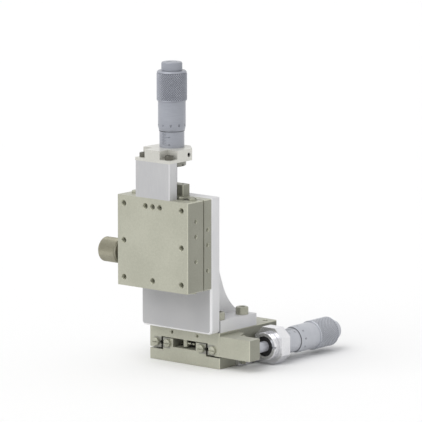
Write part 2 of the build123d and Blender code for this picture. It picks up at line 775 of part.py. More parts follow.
def upper_holder():
    """Block round the stem on top of the riser, low at its front corners where the long screws pass."""
    back = upper_axis_y + block_back
    with BuildPart() as holder:
        with BuildSketch(Plane.XY.offset(block_low)):
            with BuildLine():
                Polyline(
                    (0, table_face),
                    (mount_half, table_face),
                    (mount_half, back - block_cut),
                    (mount_half - block_cut, back),
                    (0, back),
                    close=True,
                )
            make_face()
            mirror(about=Plane.YZ)
        extrude(amount=block_top - block_low)
        with BuildSketch(Plane.XY.offset(ear_top)):
            ear_w = mount_half - notch_x
            with Locations(*both_sides([(notch_x + ear_w / 2, table_face + notch_d / 2)])):
                Rectangle(ear_w, notch_d)
        extrude(amount=block_top - ear_top, mode=Mode.SUBTRACT)
        drill(upper_axis.offset(block_top - upper_tip_z), [(0, 0)], stem_d + 2 * thread_gap, block_top)
        drill(Plane.XY.offset(ear_top), riser_points, m3_clear, ear_top - block_low)
        drill(upper_set_plane, [(0, 0)], set_screw_d, mount_half)
    return holder


def riser():
    """Plate that lifts the holder clear of the table."""
    with BuildPart() as plate:
        with BuildSketch(Plane.XY.offset(table_end)):
            with Locations((0, table_face + riser_t / 2)):
                Rectangle(2 * mount_half, riser_t)
        extrude(amount=block_low - table_end)
        chamfer(plate.edges().filter_by(Axis.Z), edge)
        drill(Plane.XY.offset(block_low), riser_points, m3_clear, block_low - table_end)
    return plate


def upper_anvil():
    """Hard block on the end of the upper base, which the spindle presses."""
    with BuildPart() as anvil:
        with BuildSketch(Plane.XY.offset(table_end)):
            with Locations((0, wall_front - upper_anvil_depth / 2)):
                Rectangle(2 * upper_anvil_half, upper_anvil_depth)
        extrude(amount=upper_tip_z - table_end)
        chamfer(anvil.edges().filter_by(Axis.Z), edge)
        drill(Plane.XY.offset(upper_tip_z), upper_anvil_points, m3_clear, stage)
        drill(Plane.XY.offset(upper_tip_z), upper_anvil_points, m3_head_d + 2 * thread_gap, m3_head_h)
    return anvil


# --- the two stages ---

end_taps = both_sides([(upper_anvil_screw_x, base_side_z)])
for name, seat, lock_way, base_taps, table_taps in (
    ("lower", lower_seat, 1, (), anvil_points),
    ("upper", upper_seat, -1, end_taps, ()),
):
    save(stage_base(seat, base_taps), f"{name}_base")
    save(stage_table(seat, lock_way, table_taps), f"{name}_table")
    save(inner_rails(seat), f"{name}_inner_rails")
    save(outer_rails(seat), f"{name}_outer_rails")
    save(inner_rail_screws(seat), f"{name}_inner_rail_screws")
    save(outer_rail_screws(seat), f"{name}_outer_rail_screws")
    save(stop_screws(seat, inner_stop_x), f"{name}_inner_stop_screws")
    save(stop_screws(seat, outer_stop_x), f"{name}_outer_stop_screws")
    save(cages(seat), f"{name}_roller_cages")
    save(rollers(seat), f"{name}_rollers")
    save(spring_peg(seat), f"{name}_spring_peg")
    save(spring_pin(seat), f"{name}_spring_pin")
    save(return_spring(seat), f"{name}_return_spring")
    save(lock_knob(seat, lock_way), f"{name}_lock_knob")
    save(lock_pad(seat, lock_way), f"{name}_lock_pad")

# --- the two micrometer heads: nut's front, sleeve's shoulder and thimble's edge from the spindle's tip ---

lower_nut_at = holder_front - nut_t - lower_tip_y
upper_nut_at = block_low - nut_t - upper_tip_z
for name, axis, nut_at, shoulder, edge_at in (
    ("lower", lower_axis, lower_nut_at, holder_back - lower_tip_y, lower_thimble_y - lower_tip_y),
    ("upper", upper_axis, upper_nut_at, block_top - upper_tip_z, upper_thimble_z - upper_tip_z),
):
    save(sleeve(axis, nut_at + stem_recess, shoulder, edge_at), f"{name}_sleeve")
    save(feed_nut(axis, edge_at), f"{name}_feed_nut")
    save(ring_nut(axis, nut_at), f"{name}_ring_nut")
    save(spindle(axis, edge_at), f"{name}_spindle")
    save(thimble(axis, edge_at), f"{name}_thimble")
    save(ratchet_cap(axis, edge_at), f"{name}_ratchet_cap")
    save(ratchet_screw(axis, edge_at), f"{name}_ratchet_screw")

# --- what joins them ---

save(bracket(), "angle_bracket")
foot_screws = cap_screws(Plane.XY.offset(foot_top), foot_points, m5, foot_t, m5_bite)
save(foot_screws, "bracket_foot_screws")
wall_head = wall_back_plane.offset(-m5_head_h)
wall_screws = cap_screws(wall_head, base_corners, m5, wall_t - m5_head_h, m5_bite)
save(wall_screws, "bracket_wall_screws")

save(lower_holder(), "lower_holder")
flange_screws = cap_screws(flange_plane, flange_points, m3_low, flange_t, base_side_depth - hole_spare)
save(flange_screws, "lower_holder_screws")
lower_set_l = holder_half - stem_d / 2 - set_screw_sink - hole_spare / 2
save(set_screw(lower_set_plane, (0, 0), lower_set_l, set_screw_sink), "lower_set_screw")
save(lower_anvil(), "lower_anvil")
save(cap_screws(anvil_plane, anvil_points, m3, lug_x - half, anvil_bite), "lower_anvil_screws")

save(riser(), "upper_riser")
save(upper_holder(), "upper_holder")
long_screws = cap_screws(Plane.XY.offset(ear_top), riser_points, m3, ear_top - table_end, riser_bite)
save(long_screws, "upper_riser_screws")
upper_set_l = mount_half - stem_d / 2 - set_screw_sink - hole_spare / 2
save(set_screw(upper_set_plane, (0, 0), upper_set_l, set_screw_sink), "upper_set_screw")
save(upper_anvil(), "upper_anvil")
anvil_head = Plane.XY.offset(upper_tip_z - m3_head_h)
anvil_shank_l = upper_tip_z - m3_head_h - table_end
save(cap_screws(anvil_head, upper_anvil_points, m3, anvil_shank_l, riser_bite), "upper_anvil_screws")
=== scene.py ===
import bpy
import bmesh
import math
from mathutils import Matrix, Vector


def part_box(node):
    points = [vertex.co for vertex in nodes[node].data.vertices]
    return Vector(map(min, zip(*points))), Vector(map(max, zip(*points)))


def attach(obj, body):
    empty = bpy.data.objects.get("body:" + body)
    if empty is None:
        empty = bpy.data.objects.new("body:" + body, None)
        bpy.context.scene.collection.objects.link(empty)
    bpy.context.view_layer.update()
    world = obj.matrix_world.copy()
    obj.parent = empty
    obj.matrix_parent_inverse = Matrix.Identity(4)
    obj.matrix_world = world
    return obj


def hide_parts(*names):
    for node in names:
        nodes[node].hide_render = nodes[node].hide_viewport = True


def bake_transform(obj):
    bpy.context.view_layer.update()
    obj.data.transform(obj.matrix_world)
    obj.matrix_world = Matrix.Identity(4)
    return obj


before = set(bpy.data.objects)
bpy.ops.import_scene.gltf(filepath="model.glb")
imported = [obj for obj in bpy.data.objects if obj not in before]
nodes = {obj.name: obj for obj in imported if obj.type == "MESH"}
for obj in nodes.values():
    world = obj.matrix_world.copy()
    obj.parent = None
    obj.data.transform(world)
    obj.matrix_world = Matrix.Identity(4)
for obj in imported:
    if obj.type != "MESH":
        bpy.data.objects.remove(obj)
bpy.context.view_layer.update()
mm = 0.001
print("frame loaded:", len(nodes), "nodes")


# finishes: colours are screen values, grain is in marks per metre

# faces is painted shade and highlight: the axis whose faces are darkened as painted shade, the share of
# colour they keep, and the gain of the painted highlight on the chamfers
nickelPlate = dict(
    name="nickelPlate", colour=(177, 177, 162), dark=(166, 166, 151), metallic=0.3, rough=(0.34, 0.46),
    grain=900, stretch=(1, 1, 1), bump=0.03, faces=(0, 0.7, 1.35))
beadBlasted = dict(
    name="beadBlasted", colour=(224, 224, 225), dark=(214, 214, 216), metallic=0.2, rough=(0.48, 0.6),
    grain=3200, stretch=(1, 1, 1), bump=0.06, faces=(1, 0.62, 1.15))
milledRiser = dict(
    name="milledRiser", colour=(207, 207, 208), dark=(199, 199, 201), metallic=0.2, rough=(0.42, 0.54),
    grain=2600, stretch=(1, 1, 0.08), bump=0.04, faces=(1, 0.77, 1.15))
holderNickel = dict(
    name="holderNickel", colour=(216, 215, 208), dark=(205, 204, 197), metallic=0.35, rough=(0.26, 0.38),
    grain=1100, stretch=(1, 1, 1), bump=0.025, faces=(1, 0.86, 1.15))
# the same chrome as the lying head's, but darker, as painted shade on the upright head
chromeUpright = dict(
    name="chromeUpright", colour=(160, 163, 171), dark=(146, 149, 158), metallic=0.28, rough=(0.28, 0.42),
    grain=5200, stretch=(0.03, 0.03, 1), bump=0.03)  # turned lines round an upright axis
chromeLying = dict(
    name="chromeLying", colour=(196, 198, 204), dark=(180, 183, 190), metallic=0.3, rough=(0.24, 0.38),
    grain=5200, stretch=(0.03, 1, 0.03), bump=0.03)  # and round a lying one
nutChrome = dict(
    name="nutChrome", colour=(232, 232, 234), dark=(216, 216, 220), metallic=0.75, rough=(0.14, 0.26),
    grain=4200, stretch=(0.03, 1, 0.03), bump=0.02)
groundSteel = dict(
    name="groundSteel", colour=(150, 150, 142), dark=(128, 128, 121), metallic=0.7, rough=(0.26, 0.4),
    grain=4800, stretch=(1, 0.04, 0.3), bump=0.035)
rollerSteel = dict(
    name="rollerSteel", colour=(205, 205, 206), dark=(190, 190, 192), metallic=0.9, rough=(0.12, 0.2),
    grain=3000, stretch=(1, 1, 1), bump=0.01)
screwNickel = dict(
    name="screwNickel", colour=(182, 182, 166), dark=(152, 152, 138), metallic=0.6, rough=(0.22, 0.38),
    grain=2400, stretch=(1, 1, 1), bump=0.04)
screwDark = dict(
    name="screwDark", colour=(104, 102, 93), dark=(74, 72, 66), metallic=0.55, rough=(0.24, 0.38),
    grain=2400, stretch=(1, 1, 1), bump=0.04)
# the grip's core between the knurl's teeth, darker than the chrome as painted shade in the valleys
knurlRoot = dict(
    name="knurlRoot", colour=(116, 118, 126), dark=(98, 100, 108), metallic=0.35, rough=(0.4, 0.55),
    grain=3000, stretch=(1, 1, 1), bump=0.02)
knobNickel = dict(
    name="knobNickel", colour=(164, 161, 143), dark=(124, 121, 107), metallic=0.55, rough=(0.28, 0.44),
    grain=2400, stretch=(1, 1, 1), bump=0.05)
cageBrass = dict(
    name="cageBrass", colour=(186, 154, 92), dark=(160, 130, 76), metallic=0.7, rough=(0.3, 0.42),
    grain=2200, stretch=(1, 1, 1), bump=0.03)
springWire = dict(
    name="springWire", colour=(52, 52, 54), dark=(34, 34, 36), metallic=0.6, rough=(0.34, 0.46),
    grain=2600, stretch=(1, 1, 1), bump=0.02)
# real black oxide on the set screws, and also the colour of the painted shade rings at the thimbles' edges
# and the sleeves' ends
blackOxide = dict(
    name="blackOxide", colour=(40, 40, 41), dark=(22, 22, 23), metallic=0.3, rough=(0.4, 0.55),
    grain=2600, stretch=(1, 1, 1), bump=0.04)
scaleInk = dict(
    name="scaleInk", colour=(34, 36, 42), dark=(24, 26, 31), metallic=0.0, rough=(0.55, 0.65),
    grain=5000, stretch=(1, 1, 1), bump=0.01)

# where the painted shade on faces across an axis and the painted highlight on chamfers begin and are full
paintedShadeReach = dict(across=(0.8, 0.97), flat=(0.75, 0.95))  # how squarely a face looks along an axis
metalShape = dict(grainDetail=3, cloudScale=45, cloudDetail=2, darkAt=0.38, lightAt=0.62, bumpDepth=0.1)


def fromScreen(colour):
    return tuple(((c / 255 + 0.055) / 1.055) ** 2.4 for c in colour) + (1,)


def paintFaceShadeAndHighlight(tree, look, place, colour):
    # painted shade and highlight: faces across one axis are darkened as painted shade, and narrow slanted
    # ones, the chamfers, are brightened as a painted highlight
    axis, share, paintedHighlight = look["faces"]
    split = tree.nodes.new("ShaderNodeSeparateXYZ")
    tree.links.new(place.outputs["Normal"], split.inputs[0])
    sizes = []
    for k in range(3):
        size = tree.nodes.new("ShaderNodeMath")
        size.operation = "ABSOLUTE"
        tree.links.new(split.outputs[k], size.inputs[0])
        sizes.append(size.outputs[0])
    largest = sizes[0]
    for size in sizes[1:]:
        pick = tree.nodes.new("ShaderNodeMath")
        pick.operation = "MAXIMUM"
        tree.links.new(largest, pick.inputs[0])
        tree.links.new(size, pick.inputs[1])
        largest = pick.outputs[0]
    paintedTones = ((sizes[axis], paintedShadeReach["across"], (1.0, share)), (largest, paintedShadeReach["flat"], (paintedHighlight, 1.0)))
    for value, reach, ends in paintedTones:
        shade = tree.nodes.new("ShaderNodeMapRange")
        shade.inputs["From Min"].default_value, shade.inputs["From Max"].default_value = reach
        shade.inputs["To Min"].default_value, shade.inputs["To Max"].default_value = ends
        dim = tree.nodes.new("ShaderNodeVectorMath")
        dim.operation = "SCALE"
        tree.links.new(value, shade.inputs["Value"])
        tree.links.new(colour, dim.inputs[0])
        tree.links.new(shade.outputs["Result"], dim.inputs["Scale"])
        colour = dim.outputs["Vector"]
    return colour


def metalFinish(look):
    material = bpy.data.materials.new(look["name"])
    material.use_nodes = True
    tree = material.node_tree
    shader = tree.nodes["Principled BSDF"]
    shader.inputs["Metallic"].default_value = look["metallic"]
    place = tree.nodes.new("ShaderNodeTexCoord")
    turn = tree.nodes.new("ShaderNodeMapping")
    turn.inputs["Scale"].default_value = look["stretch"]
    grain = tree.nodes.new("ShaderNodeTexNoise")
    grain.inputs["Scale"].default_value = look["grain"]
    grain.inputs["Detail"].default_value = metalShape["grainDetail"]
    cloud = tree.nodes.new("ShaderNodeTexNoise")  # slow change of tone over a face
    cloud.inputs["Scale"].default_value = metalShape["cloudScale"]
    cloud.inputs["Detail"].default_value = metalShape["cloudDetail"]
    tone = tree.nodes.new("ShaderNodeMath")
    tone.operation = "ADD"
    half = tree.nodes.new("ShaderNodeMath")
    half.operation = "MULTIPLY"
    half.inputs[1].default_value = 0.5
    ramp = tree.nodes.new("ShaderNodeValToRGB")
    ramp.color_ramp.elements[0].position = metalShape["darkAt"]
    ramp.color_ramp.elements[0].color = fromScreen(look["dark"])
    ramp.color_ramp.elements[1].position = metalShape["lightAt"]
    ramp.color_ramp.elements[1].color = fromScreen(look["colour"])
    rough = tree.nodes.new("ShaderNodeMapRange")
    rough.inputs["To Min"].default_value, rough.inputs["To Max"].default_value = look["rough"]
    bump = tree.nodes.new("ShaderNodeBump")
    bump.inputs["Strength"].default_value = look["bump"]
    bump.inputs["Distance"].default_value = metalShape["bumpDepth"] * mm
    join = tree.links.new
    join(place.outputs["Object"], turn.inputs["Vector"])
    join(turn.outputs["Vector"], grain.inputs["Vector"])
    join(place.outputs["Object"], cloud.inputs["Vector"])
    join(grain.outputs["Fac"], tone.inputs[0])
    join(cloud.outputs["Fac"], tone.inputs[1])
    join(tone.outputs[0], half.inputs[0])
    join(half.outputs[0], ramp.inputs["Fac"])
    # painted shade and highlight, by the way each face points
    if "faces" in look:
        join(paintFaceShadeAndHighlight(tree, look, place, ramp.outputs["Color"]), shader.inputs["Base Color"])
    else:
        join(ramp.outputs["Color"], shader.inputs["Base Color"])
    join(grain.outputs["Fac"], rough.inputs["Value"])
    join(rough.outputs["Result"], shader.inputs["Roughness"])
    join(grain.outputs["Fac"], bump.inputs["Height"])
    join(bump.outputs["Normal"], shader.inputs["Normal"])
    return material


# geometry node helpers

def newTree(name, inputs):
    tree = bpy.data.node_groups.new(name, "GeometryNodeTree")
    for label, kind in inputs:
        tree.interface.new_socket(label, in_out="INPUT", socket_type="NodeSocket" + kind)
    tree.interface.new_socket("Geometry", in_out="OUTPUT", socket_type="NodeSocketGeometry")
    return tree, tree.nodes.new("NodeGroupInput").outputs, tree.nodes.new("NodeGroupOutput").inputs


def addNode(tree, kind, settings=None, **links):
    node = tree.nodes.new(kind)
    for key, value in (settings or {}).items():
        setattr(node, key, value)
    for key, value in links.items():
        numbered = key[0] == "i" and key[1:].isdigit()
        socket = node.inputs[int(key[1:]) if numbered else key.replace("_", " ")]
        if isinstance(value, bpy.types.NodeSocket):
            tree.links.new(value, socket)
        else:
            socket.default_value = value
    return node


def reckon(tree, operation, first, second=0.0):
    return addNode(tree, "ShaderNodeMath", {"operation": operation}, i0=first, i1=second).outputs[0]


def vector(tree, x=0.0, y=0.0, z=0.0):
    return addNode(tree, "ShaderNodeCombineXYZ", X=x, Y=y, Z=z).outputs[0]


def onRing(tree, radius, angle, along):
    # A place at an angle round the upright axis.
    across = reckon(tree, "MULTIPLY", radius, reckon(tree, "COSINE", angle))
    deep = reckon(tree, "MULTIPLY", radius, reckon(tree, "SINE", angle))
    return vector(tree, across, deep, along)


def finishTree(tree, ends, geometry, material):
    whole = addNode(tree, "GeometryNodeRealizeInstances", Geometry=geometry).outputs[0]
    painted = addNode(tree, "GeometryNodeSetMaterial", Geometry=whole, Material=material).outputs[0]
    tree.links.new(painted, ends["Geometry"])


def instances(tree, points, shape, turn, scale):
    copies = addNode(
        tree, "GeometryNodeInstanceOnPoints", Points=points, Instance=shape, Rotation=turn, Scale=scale)
    return copies.outputs[0]


# the tooth's tip and the bar's side are against a size of 1
markShape = dict(tooth=0.12, bar=0.7071, bevelInk=0.05, sleeveInk=0.04, bends=7)


def knurlTree():
    # Diamond teeth in staggered rows round an upright axis.
    tree, sizes, ends = newTree("diamondKnurl", [
        ("Around", "Int"), ("Rows", "Int"), ("Radius", "Float"), ("Start", "Float"), ("Depth", "Float"),
        ("Length", "Float"), ("Fill", "Float"), ("Finish", "Material")])
    count = reckon(tree, "MULTIPLY", sizes["Around"], sizes["Rows"])
    index = addNode(tree, "GeometryNodeInputIndex").outputs[0]
    row = reckon(tree, "FLOOR", reckon(tree, "DIVIDE", index, sizes["Around"]))
    lean = reckon(tree, "MULTIPLY", reckon(tree, "MODULO", row, 2.0), 0.5)
    step = reckon(tree, "DIVIDE", 2 * math.pi, sizes["Around"])
    inRow = reckon(tree, "MODULO", index, sizes["Around"])
    angle = reckon(tree, "MULTIPLY", reckon(tree, "ADD", inRow, lean), step)
    rise = reckon(tree, "DIVIDE", sizes["Length"], reckon(tree, "ADD", sizes["Rows"], 1.0))
    along = reckon(tree, "ADD", sizes["Start"], reckon(tree, "MULTIPLY", reckon(tree, "ADD", row, 1.0), rise))
    spot = onRing(tree, sizes["Radius"], angle, along)
    points = addNode(tree, "GeometryNodePoints", Count=count, Position=spot).outputs[0]
    tip = markShape["tooth"]
    tooth = addNode(tree, "GeometryNodeMeshCone", Vertices=4, Radius_Bottom=1.0, Radius_Top=tip, Depth=1.0)
    wide = reckon(tree, "MULTIPLY", reckon(tree, "MULTIPLY", step, sizes["Radius"]), sizes["Fill"])
    high = reckon(tree, "MULTIPLY", reckon(tree, "MULTIPLY", rise, 2.0), sizes["Fill"])
    turn = vector(tree, 0.0, math.pi / 2, angle)
    teeth = instances(tree, points, tooth.outputs[0], turn, vector(tree, high, wide, sizes["Depth"]))
    finishTree(tree, ends, teeth, sizes["Finish"])
    return tree


def ridgeTree():
    # Straight ridges round an upright axis.
    tree, sizes, ends = newTree("straightKnurl", [
        ("Around", "Int"), ("Radius", "Float"), ("Start", "Float"), ("Depth", "Float"), ("Length", "Float"),
        ("Finish", "Material")])
    index = addNode(tree, "GeometryNodeInputIndex").outputs[0]
    step = reckon(tree, "DIVIDE", 2 * math.pi, sizes["Around"])
    angle = reckon(tree, "MULTIPLY", index, step)
    middle = reckon(tree, "ADD", sizes["Start"], reckon(tree, "MULTIPLY", sizes["Length"], 0.5))
    spot = onRing(tree, sizes["Radius"], angle, middle)
    points = addNode(tree, "GeometryNodePoints", Count=sizes["Around"], Position=spot).outputs[0]
    bar = addNode(tree, "GeometryNodeMeshCube", Size=(1.0, markShape["bar"], markShape["bar"])).outputs[0]
    bar = addNode(tree, "GeometryNodeTransform", Geometry=bar, Rotation=(math.pi / 4, 0.0, 0.0)).outputs[0]
    wide = reckon(tree, "MULTIPLY", step, sizes["Radius"])
    deep = reckon(tree, "MULTIPLY", sizes["Depth"], 2.0)
    turn = vector(tree, 0.0, math.pi / 2, angle)
    bars = instances(tree, points, bar, turn, vector(tree, sizes["Length"], wide, deep))
    finishTree(tree, ends, bars, sizes["Finish"])
    return tree


def wrapRound(tree, geometry, radius, slope, start, turn):
    # Bends a flat strip of marks round a turned piece: x goes round it, y along it and z out of it.
    here = addNode(tree, "GeometryNodeInputPosition").outputs[0]
    flat = addNode(tree, "ShaderNodeSeparateXYZ", i0=here).outputs
    out = reckon(tree, "ADD", reckon(tree, "ADD", radius, flat[2]), reckon(tree, "MULTIPLY", flat[1], slope))
    angle = reckon(tree, "ADD", reckon(tree, "DIVIDE", flat[0], radius), turn)
    spot = onRing(tree, out, angle, reckon(tree, "ADD", flat[1], start))
    return addNode(tree, "GeometryNodeSetPosition", Geometry=geometry, Position=spot).outputs[0]


def bevelScaleTree():
    # Marks round the thimble's bevel, every fifth one longer.
    tree, sizes, ends = newTree("bevelScale", [
        ("Count", "Int"), ("Radius", "Float"), ("Slope", "Float"), ("Start", "Float"), ("Short", "Float"),
        ("Long", "Float"), ("Line", "Float"), ("Turn", "Float"), ("Finish", "Material")])
    index = addNode(tree, "GeometryNodeInputIndex").outputs[0]
    step = reckon(tree, "DIVIDE", reckon(tree, "MULTIPLY", sizes["Radius"], 2 * math.pi), sizes["Count"])
    points = addNode(tree, "GeometryNodePoints", Count=sizes["Count"],
                     Position=vector(tree, reckon(tree, "MULTIPLY", index, step))).outputs[0]
    fifth = reckon(tree, "LESS_THAN", reckon(tree, "MODULO", index, 5.0), 0.5)
    more = reckon(tree, "MULTIPLY", fifth, reckon(tree, "SUBTRACT", sizes["Long"], sizes["Short"]))
    length = reckon(tree, "ADD", sizes["Short"], more)
    mark = addNode(tree, "GeometryNodeMeshCube", Size=(1.0, 1.0, 1.0)).outputs[0]
    mark = addNode(tree, "GeometryNodeTransform", Geometry=mark, Translation=(0.0, 0.5, 0.0)).outputs[0]
    size = vector(tree, sizes["Line"], length, markShape["bevelInk"] * mm)
    marks = instances(tree, points, mark, (0.0, 0.0, 0.0), size)
    marks = addNode(tree, "GeometryNodeRealizeInstances", Geometry=marks).outputs[0]
    wrapped = wrapRound(tree, marks, sizes["Radius"], sizes["Slope"], sizes["Start"], sizes["Turn"])
    finishTree(tree, ends, wrapped, sizes["Finish"])
    return tree


def sleeveScaleTree():
    # A line along the sleeve, with whole millimetres on one side of it and halves on the other.
    tree, sizes, ends = newTree("sleeveScale", [
        ("Count", "Int"), ("Step", "Float"), ("Radius", "Float"), ("Start", "Float"), ("Short", "Float"),
        ("Long", "Float"), ("Line", "Float"), ("Turn", "Float"), ("Finish", "Material")])
    ink = markShape["sleeveInk"] * mm
    index = addNode(tree, "GeometryNodeInputIndex").outputs[0]
    odd = reckon(tree, "MODULO", index, 2.0)
    tenth = reckon(tree, "LESS_THAN", reckon(tree, "MODULO", index, 10.0), 0.5)
    more = reckon(tree, "MULTIPLY", tenth, reckon(tree, "SUBTRACT", sizes["Long"], sizes["Short"]))
    length = reckon(tree, "ADD", sizes["Short"], more)
    side = reckon(tree, "MULTIPLY", reckon(tree, "MULTIPLY", odd, length), -1.0)
    points = addNode(tree, "GeometryNodePoints", Count=sizes["Count"],
                     Position=vector(tree, side, reckon(tree, "MULTIPLY", index, sizes["Step"]))).outputs[0]
    bends = markShape["bends"]
    mark = addNode(tree, "GeometryNodeMeshCube", Size=(1.0, 1.0, 1.0), Vertices_X=bends).outputs[0]
    mark = addNode(tree, "GeometryNodeTransform", Geometry=mark, Translation=(0.5, 0.0, 0.0)).outputs[0]
    marks = instances(tree, points, mark, (0.0, 0.0, 0.0), vector(tree, length, sizes["Line"], ink))
    run = reckon(tree, "MULTIPLY", sizes["Count"], sizes["Step"])
    line = addNode(tree, "GeometryNodeMeshCube", Size=vector(tree, sizes["Line"], run, ink)).outputs[0]
    halfWay = vector(tree, 0.0, reckon(tree, "MULTIPLY", run, 0.5))
    line = addNode(tree, "GeometryNodeTransform", Geometry=line, Translation=halfWay).outputs[0]
    both = addNode(tree, "GeometryNodeJoinGeometry")
    tree.links.new(line, both.inputs[0])
    tree.links.new(addNode(tree, "GeometryNodeRealizeInstances", Geometry=marks).outputs[0], both.inputs[0])
    wrapped = wrapRound(tree, both.outputs[0], sizes["Radius"], 0.0, sizes["Start"], sizes["Turn"])
    finishTree(tree, ends, wrapped, sizes["Finish"])
    return tree


def seatedTree():
    # Copies of one shape, stood on seats that each have a facing direction.
    inputs = [("Seats", "Object"), ("Shape", "Object"), ("Finish", "Material")]
    tree, sizes, ends = newTree("seatedCopies", inputs)
    seats = addNode(tree, "GeometryNodeObjectInfo", Object=sizes["Seats"]).outputs["Geometry"]
    shape = addNode(tree, "GeometryNodeObjectInfo", Object=sizes["Shape"]).outputs["Geometry"]
    facing = addNode(tree, "GeometryNodeInputNamedAttribute", {"data_type": "FLOAT_VECTOR"}, Name="facing")
    turn = addNode(tree, "FunctionNodeAlignRotationToVector", {"axis": "Z"}, Vector=facing.outputs[0])
    finishTree(tree, ends, instances(tree, seats, shape, turn.outputs[0], (1.0, 1.0, 1.0)), sizes["Finish"])
    return tree


# mesh helpers

def link(name, mesh):
    piece = bpy.data.objects.new(name, mesh)
    bpy.context.scene.collection.objects.link(piece)
    return piece


def plainMesh(piece):
    # What a piece comes to, with its modifiers or its curve worked out.
    return bpy.data.meshes.new_from_object(piece.evaluated_get(bpy.context.evaluated_depsgraph_get()))


def meshOf(name, work):
    mesh = bpy.data.meshes.new(name)
    work.to_mesh(mesh)
    work.free()
    return mesh


def soften(mesh, angle=32):
    mesh.shade_smooth()
    mesh.set_sharp_from_angle(angle=math.radians(angle))


def grow(name, tree, sizes, place=None):
    # Runs a tree, and keeps its result as a plain mesh.
    holder = link(name, bpy.data.meshes.new(name))
    modifier = holder.modifiers.new(name, "NODES")
    modifier.node_group = tree
    for item in tree.interface.items_tree:
        if item.in_out == "INPUT" and item.name in sizes:
            modifier[item.identifier] = sizes[item.name]
    grown = plainMesh(holder)
    holder.modifiers.remove(modifier)
    if place is not None:
        grown.transform(place)
    holder.data = grown
    return holder


def lathe(name, outline, material, place=None, steps=96):
    # A closed solid turned from (radius, distance along the axis).
    work = bmesh.new()
    rings = []
    for radius, along in outline:
        count = steps if radius > 0 else 1
        turns = [2 * math.pi * k / steps for k in range(count)]
        rings.append([work.verts.new((radius * math.cos(t), radius * math.sin(t), along)) for t in turns])
    follows = rings[1:] if outline[0][0] == 0 and outline[-1][0] == 0 else rings[1:] + rings[:1]
    for ring, after in zip(rings, follows):
        for k in range(steps):
            m = (k + 1) % steps
            corners = [ring[k % len(ring)], ring[m % len(ring)], after[m % len(after)], after[k % len(after)]]
            corners = [v for n, v in enumerate(corners) if v not in corners[:n]]
            if len(corners) > 2:
                work.faces.new(corners)
    bmesh.ops.recalc_face_normals(work, faces=work.faces)
    mesh = meshOf(name, work)
    mesh.materials.append(material)
    if place is not None:
        mesh.transform(place)
    soften(mesh)
    return link(name, mesh)


def settle(piece, body, slot, *replaced):
    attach(piece, body)
    if replaced:
        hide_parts(*replaced)
    return piece


def remove(*pieces):
    for piece in pieces:
        bpy.data.objects.remove(piece)


joinGap = 0.001  # points this near each other, in millimetres, are one


def islands(node):
    # The separate solids in a node's mesh, each as its lowest and highest corner.
    work = bmesh.new()
    work.from_mesh(nodes[node].data)
    bmesh.ops.remove_doubles(work, verts=work.verts, dist=joinGap * mm)
    left, found = set(work.verts), []
    while left:
        heap, group = [left.pop()], []
        while heap:
            v = heap.pop()
            group.append(v.co.copy())
            for e in v.link_edges:
                w = e.other_vert(v)
                if w in left:
                    left.remove(w)
                    heap.append(w)
        low = Vector([min(c[k] for c in group) for k in range(3)])
        high = Vector([max(c[k] for c in group) for k in range(3)])
        found.append((low, high))
    work.free()
    return sorted(found, key=lambda b: tuple(round(c, 5) for c in b[0]))


def seatPoints(name, seats):
    # Points with a facing direction, from (place, facing) pairs.
    mesh = bpy.data.meshes.new(name)
    mesh.from_pydata([tuple(place) for place, _ in seats], [], [])
    facing = mesh.attributes.new("facing", "FLOAT_VECTOR", "POINT")
    for k, (_, way) in enumerate(seats):
        facing.data[k].vector = way
    return link(name, mesh)


xWay, yWay, zWay = Vector((1, 0, 0)), Vector((0, 1, 0)), Vector((0, 0, 1))


# the finishes

finish = {look["name"]: metalFinish(look) for look in (
    nickelPlate, beadBlasted, milledRiser, holderNickel, chromeUpright, chromeLying, nutChrome, groundSteel,
    rollerSteel, screwNickel, screwDark, knurlRoot, knobNickel, cageBrass, springWire, blackOxide, scaleInk)}
print("finishes made:", len(finish))

nodeFinish = {
    "base": "nickelPlate", "table": "nickelPlate", "anvil": "nickelPlate", "holder": "holderNickel",
    "riser": "milledRiser", "inner_rails": "groundSteel", "outer_rails": "groundSteel",
    "roller_cages": "cageBrass", "rollers": "rollerSteel", "lock_pad": "cageBrass", "feed_nut": "cageBrass",
    "spring_peg": "screwNickel", "spring_pin": "screwNickel", "return_spring": "springWire",
    "lock_knob": "knobNickel", "ring_nut": "nutChrome", "set_screw": "blackOxide",
    "inner_rail_screws": "screwNickel", "outer_rail_screws": "screwNickel",
    "inner_stop_screws": "screwNickel", "outer_stop_screws": "screwNickel", "anvil_screws": "screwNickel",
    "holder_screws": "screwNickel", "riser_screws": "screwNickel",
}
turnedNodes = ("sleeve", "spindle", "thimble", "ratchet_cap", "ratchet_screw")
for name, piece in nodes.items():
    stageName, _, rest = name.partition("_")
    if name.startswith("angle") or name.startswith("bracket"):
        chosen = "beadBlasted" if name == "angle_bracket" else "screwNickel"
    elif name == "lower_holder":
        chosen = "nutChrome"
    elif name == "upper_ring_nut":
        chosen = "groundSteel"
    elif rest in turnedNodes:
        chosen = "chromeUpright" if stageName == "upper" else "chromeLying"
    else:
        chosen = nodeFinish[rest]
    piece.data.materials.clear()
    piece.data.materials.append(finish[chosen])
print("nodes finished")


# the micrometer heads

thimbleShape = dict(
    bevel=2.8, plain=17.0, grip=19.7, hub=6.6, edgeR=8.4, plainR=9.05, gripR=10.0, insideR=8.25, boreR=2.55,
    edgeRound=0.06, frontRim=0.3, frontRimAt=0.35, frontRimL=0.7, backRim=0.25, backRimAt=1.0, backRimL=1.3,
    backRound=0.35, backRoundL=0.25, backIn=0.7)
knurlShape = dict(around=40, rows=22, fill=0.43, depth=0.42, sink=0.06, over=0.04, start=0.2, shorter=1.5)
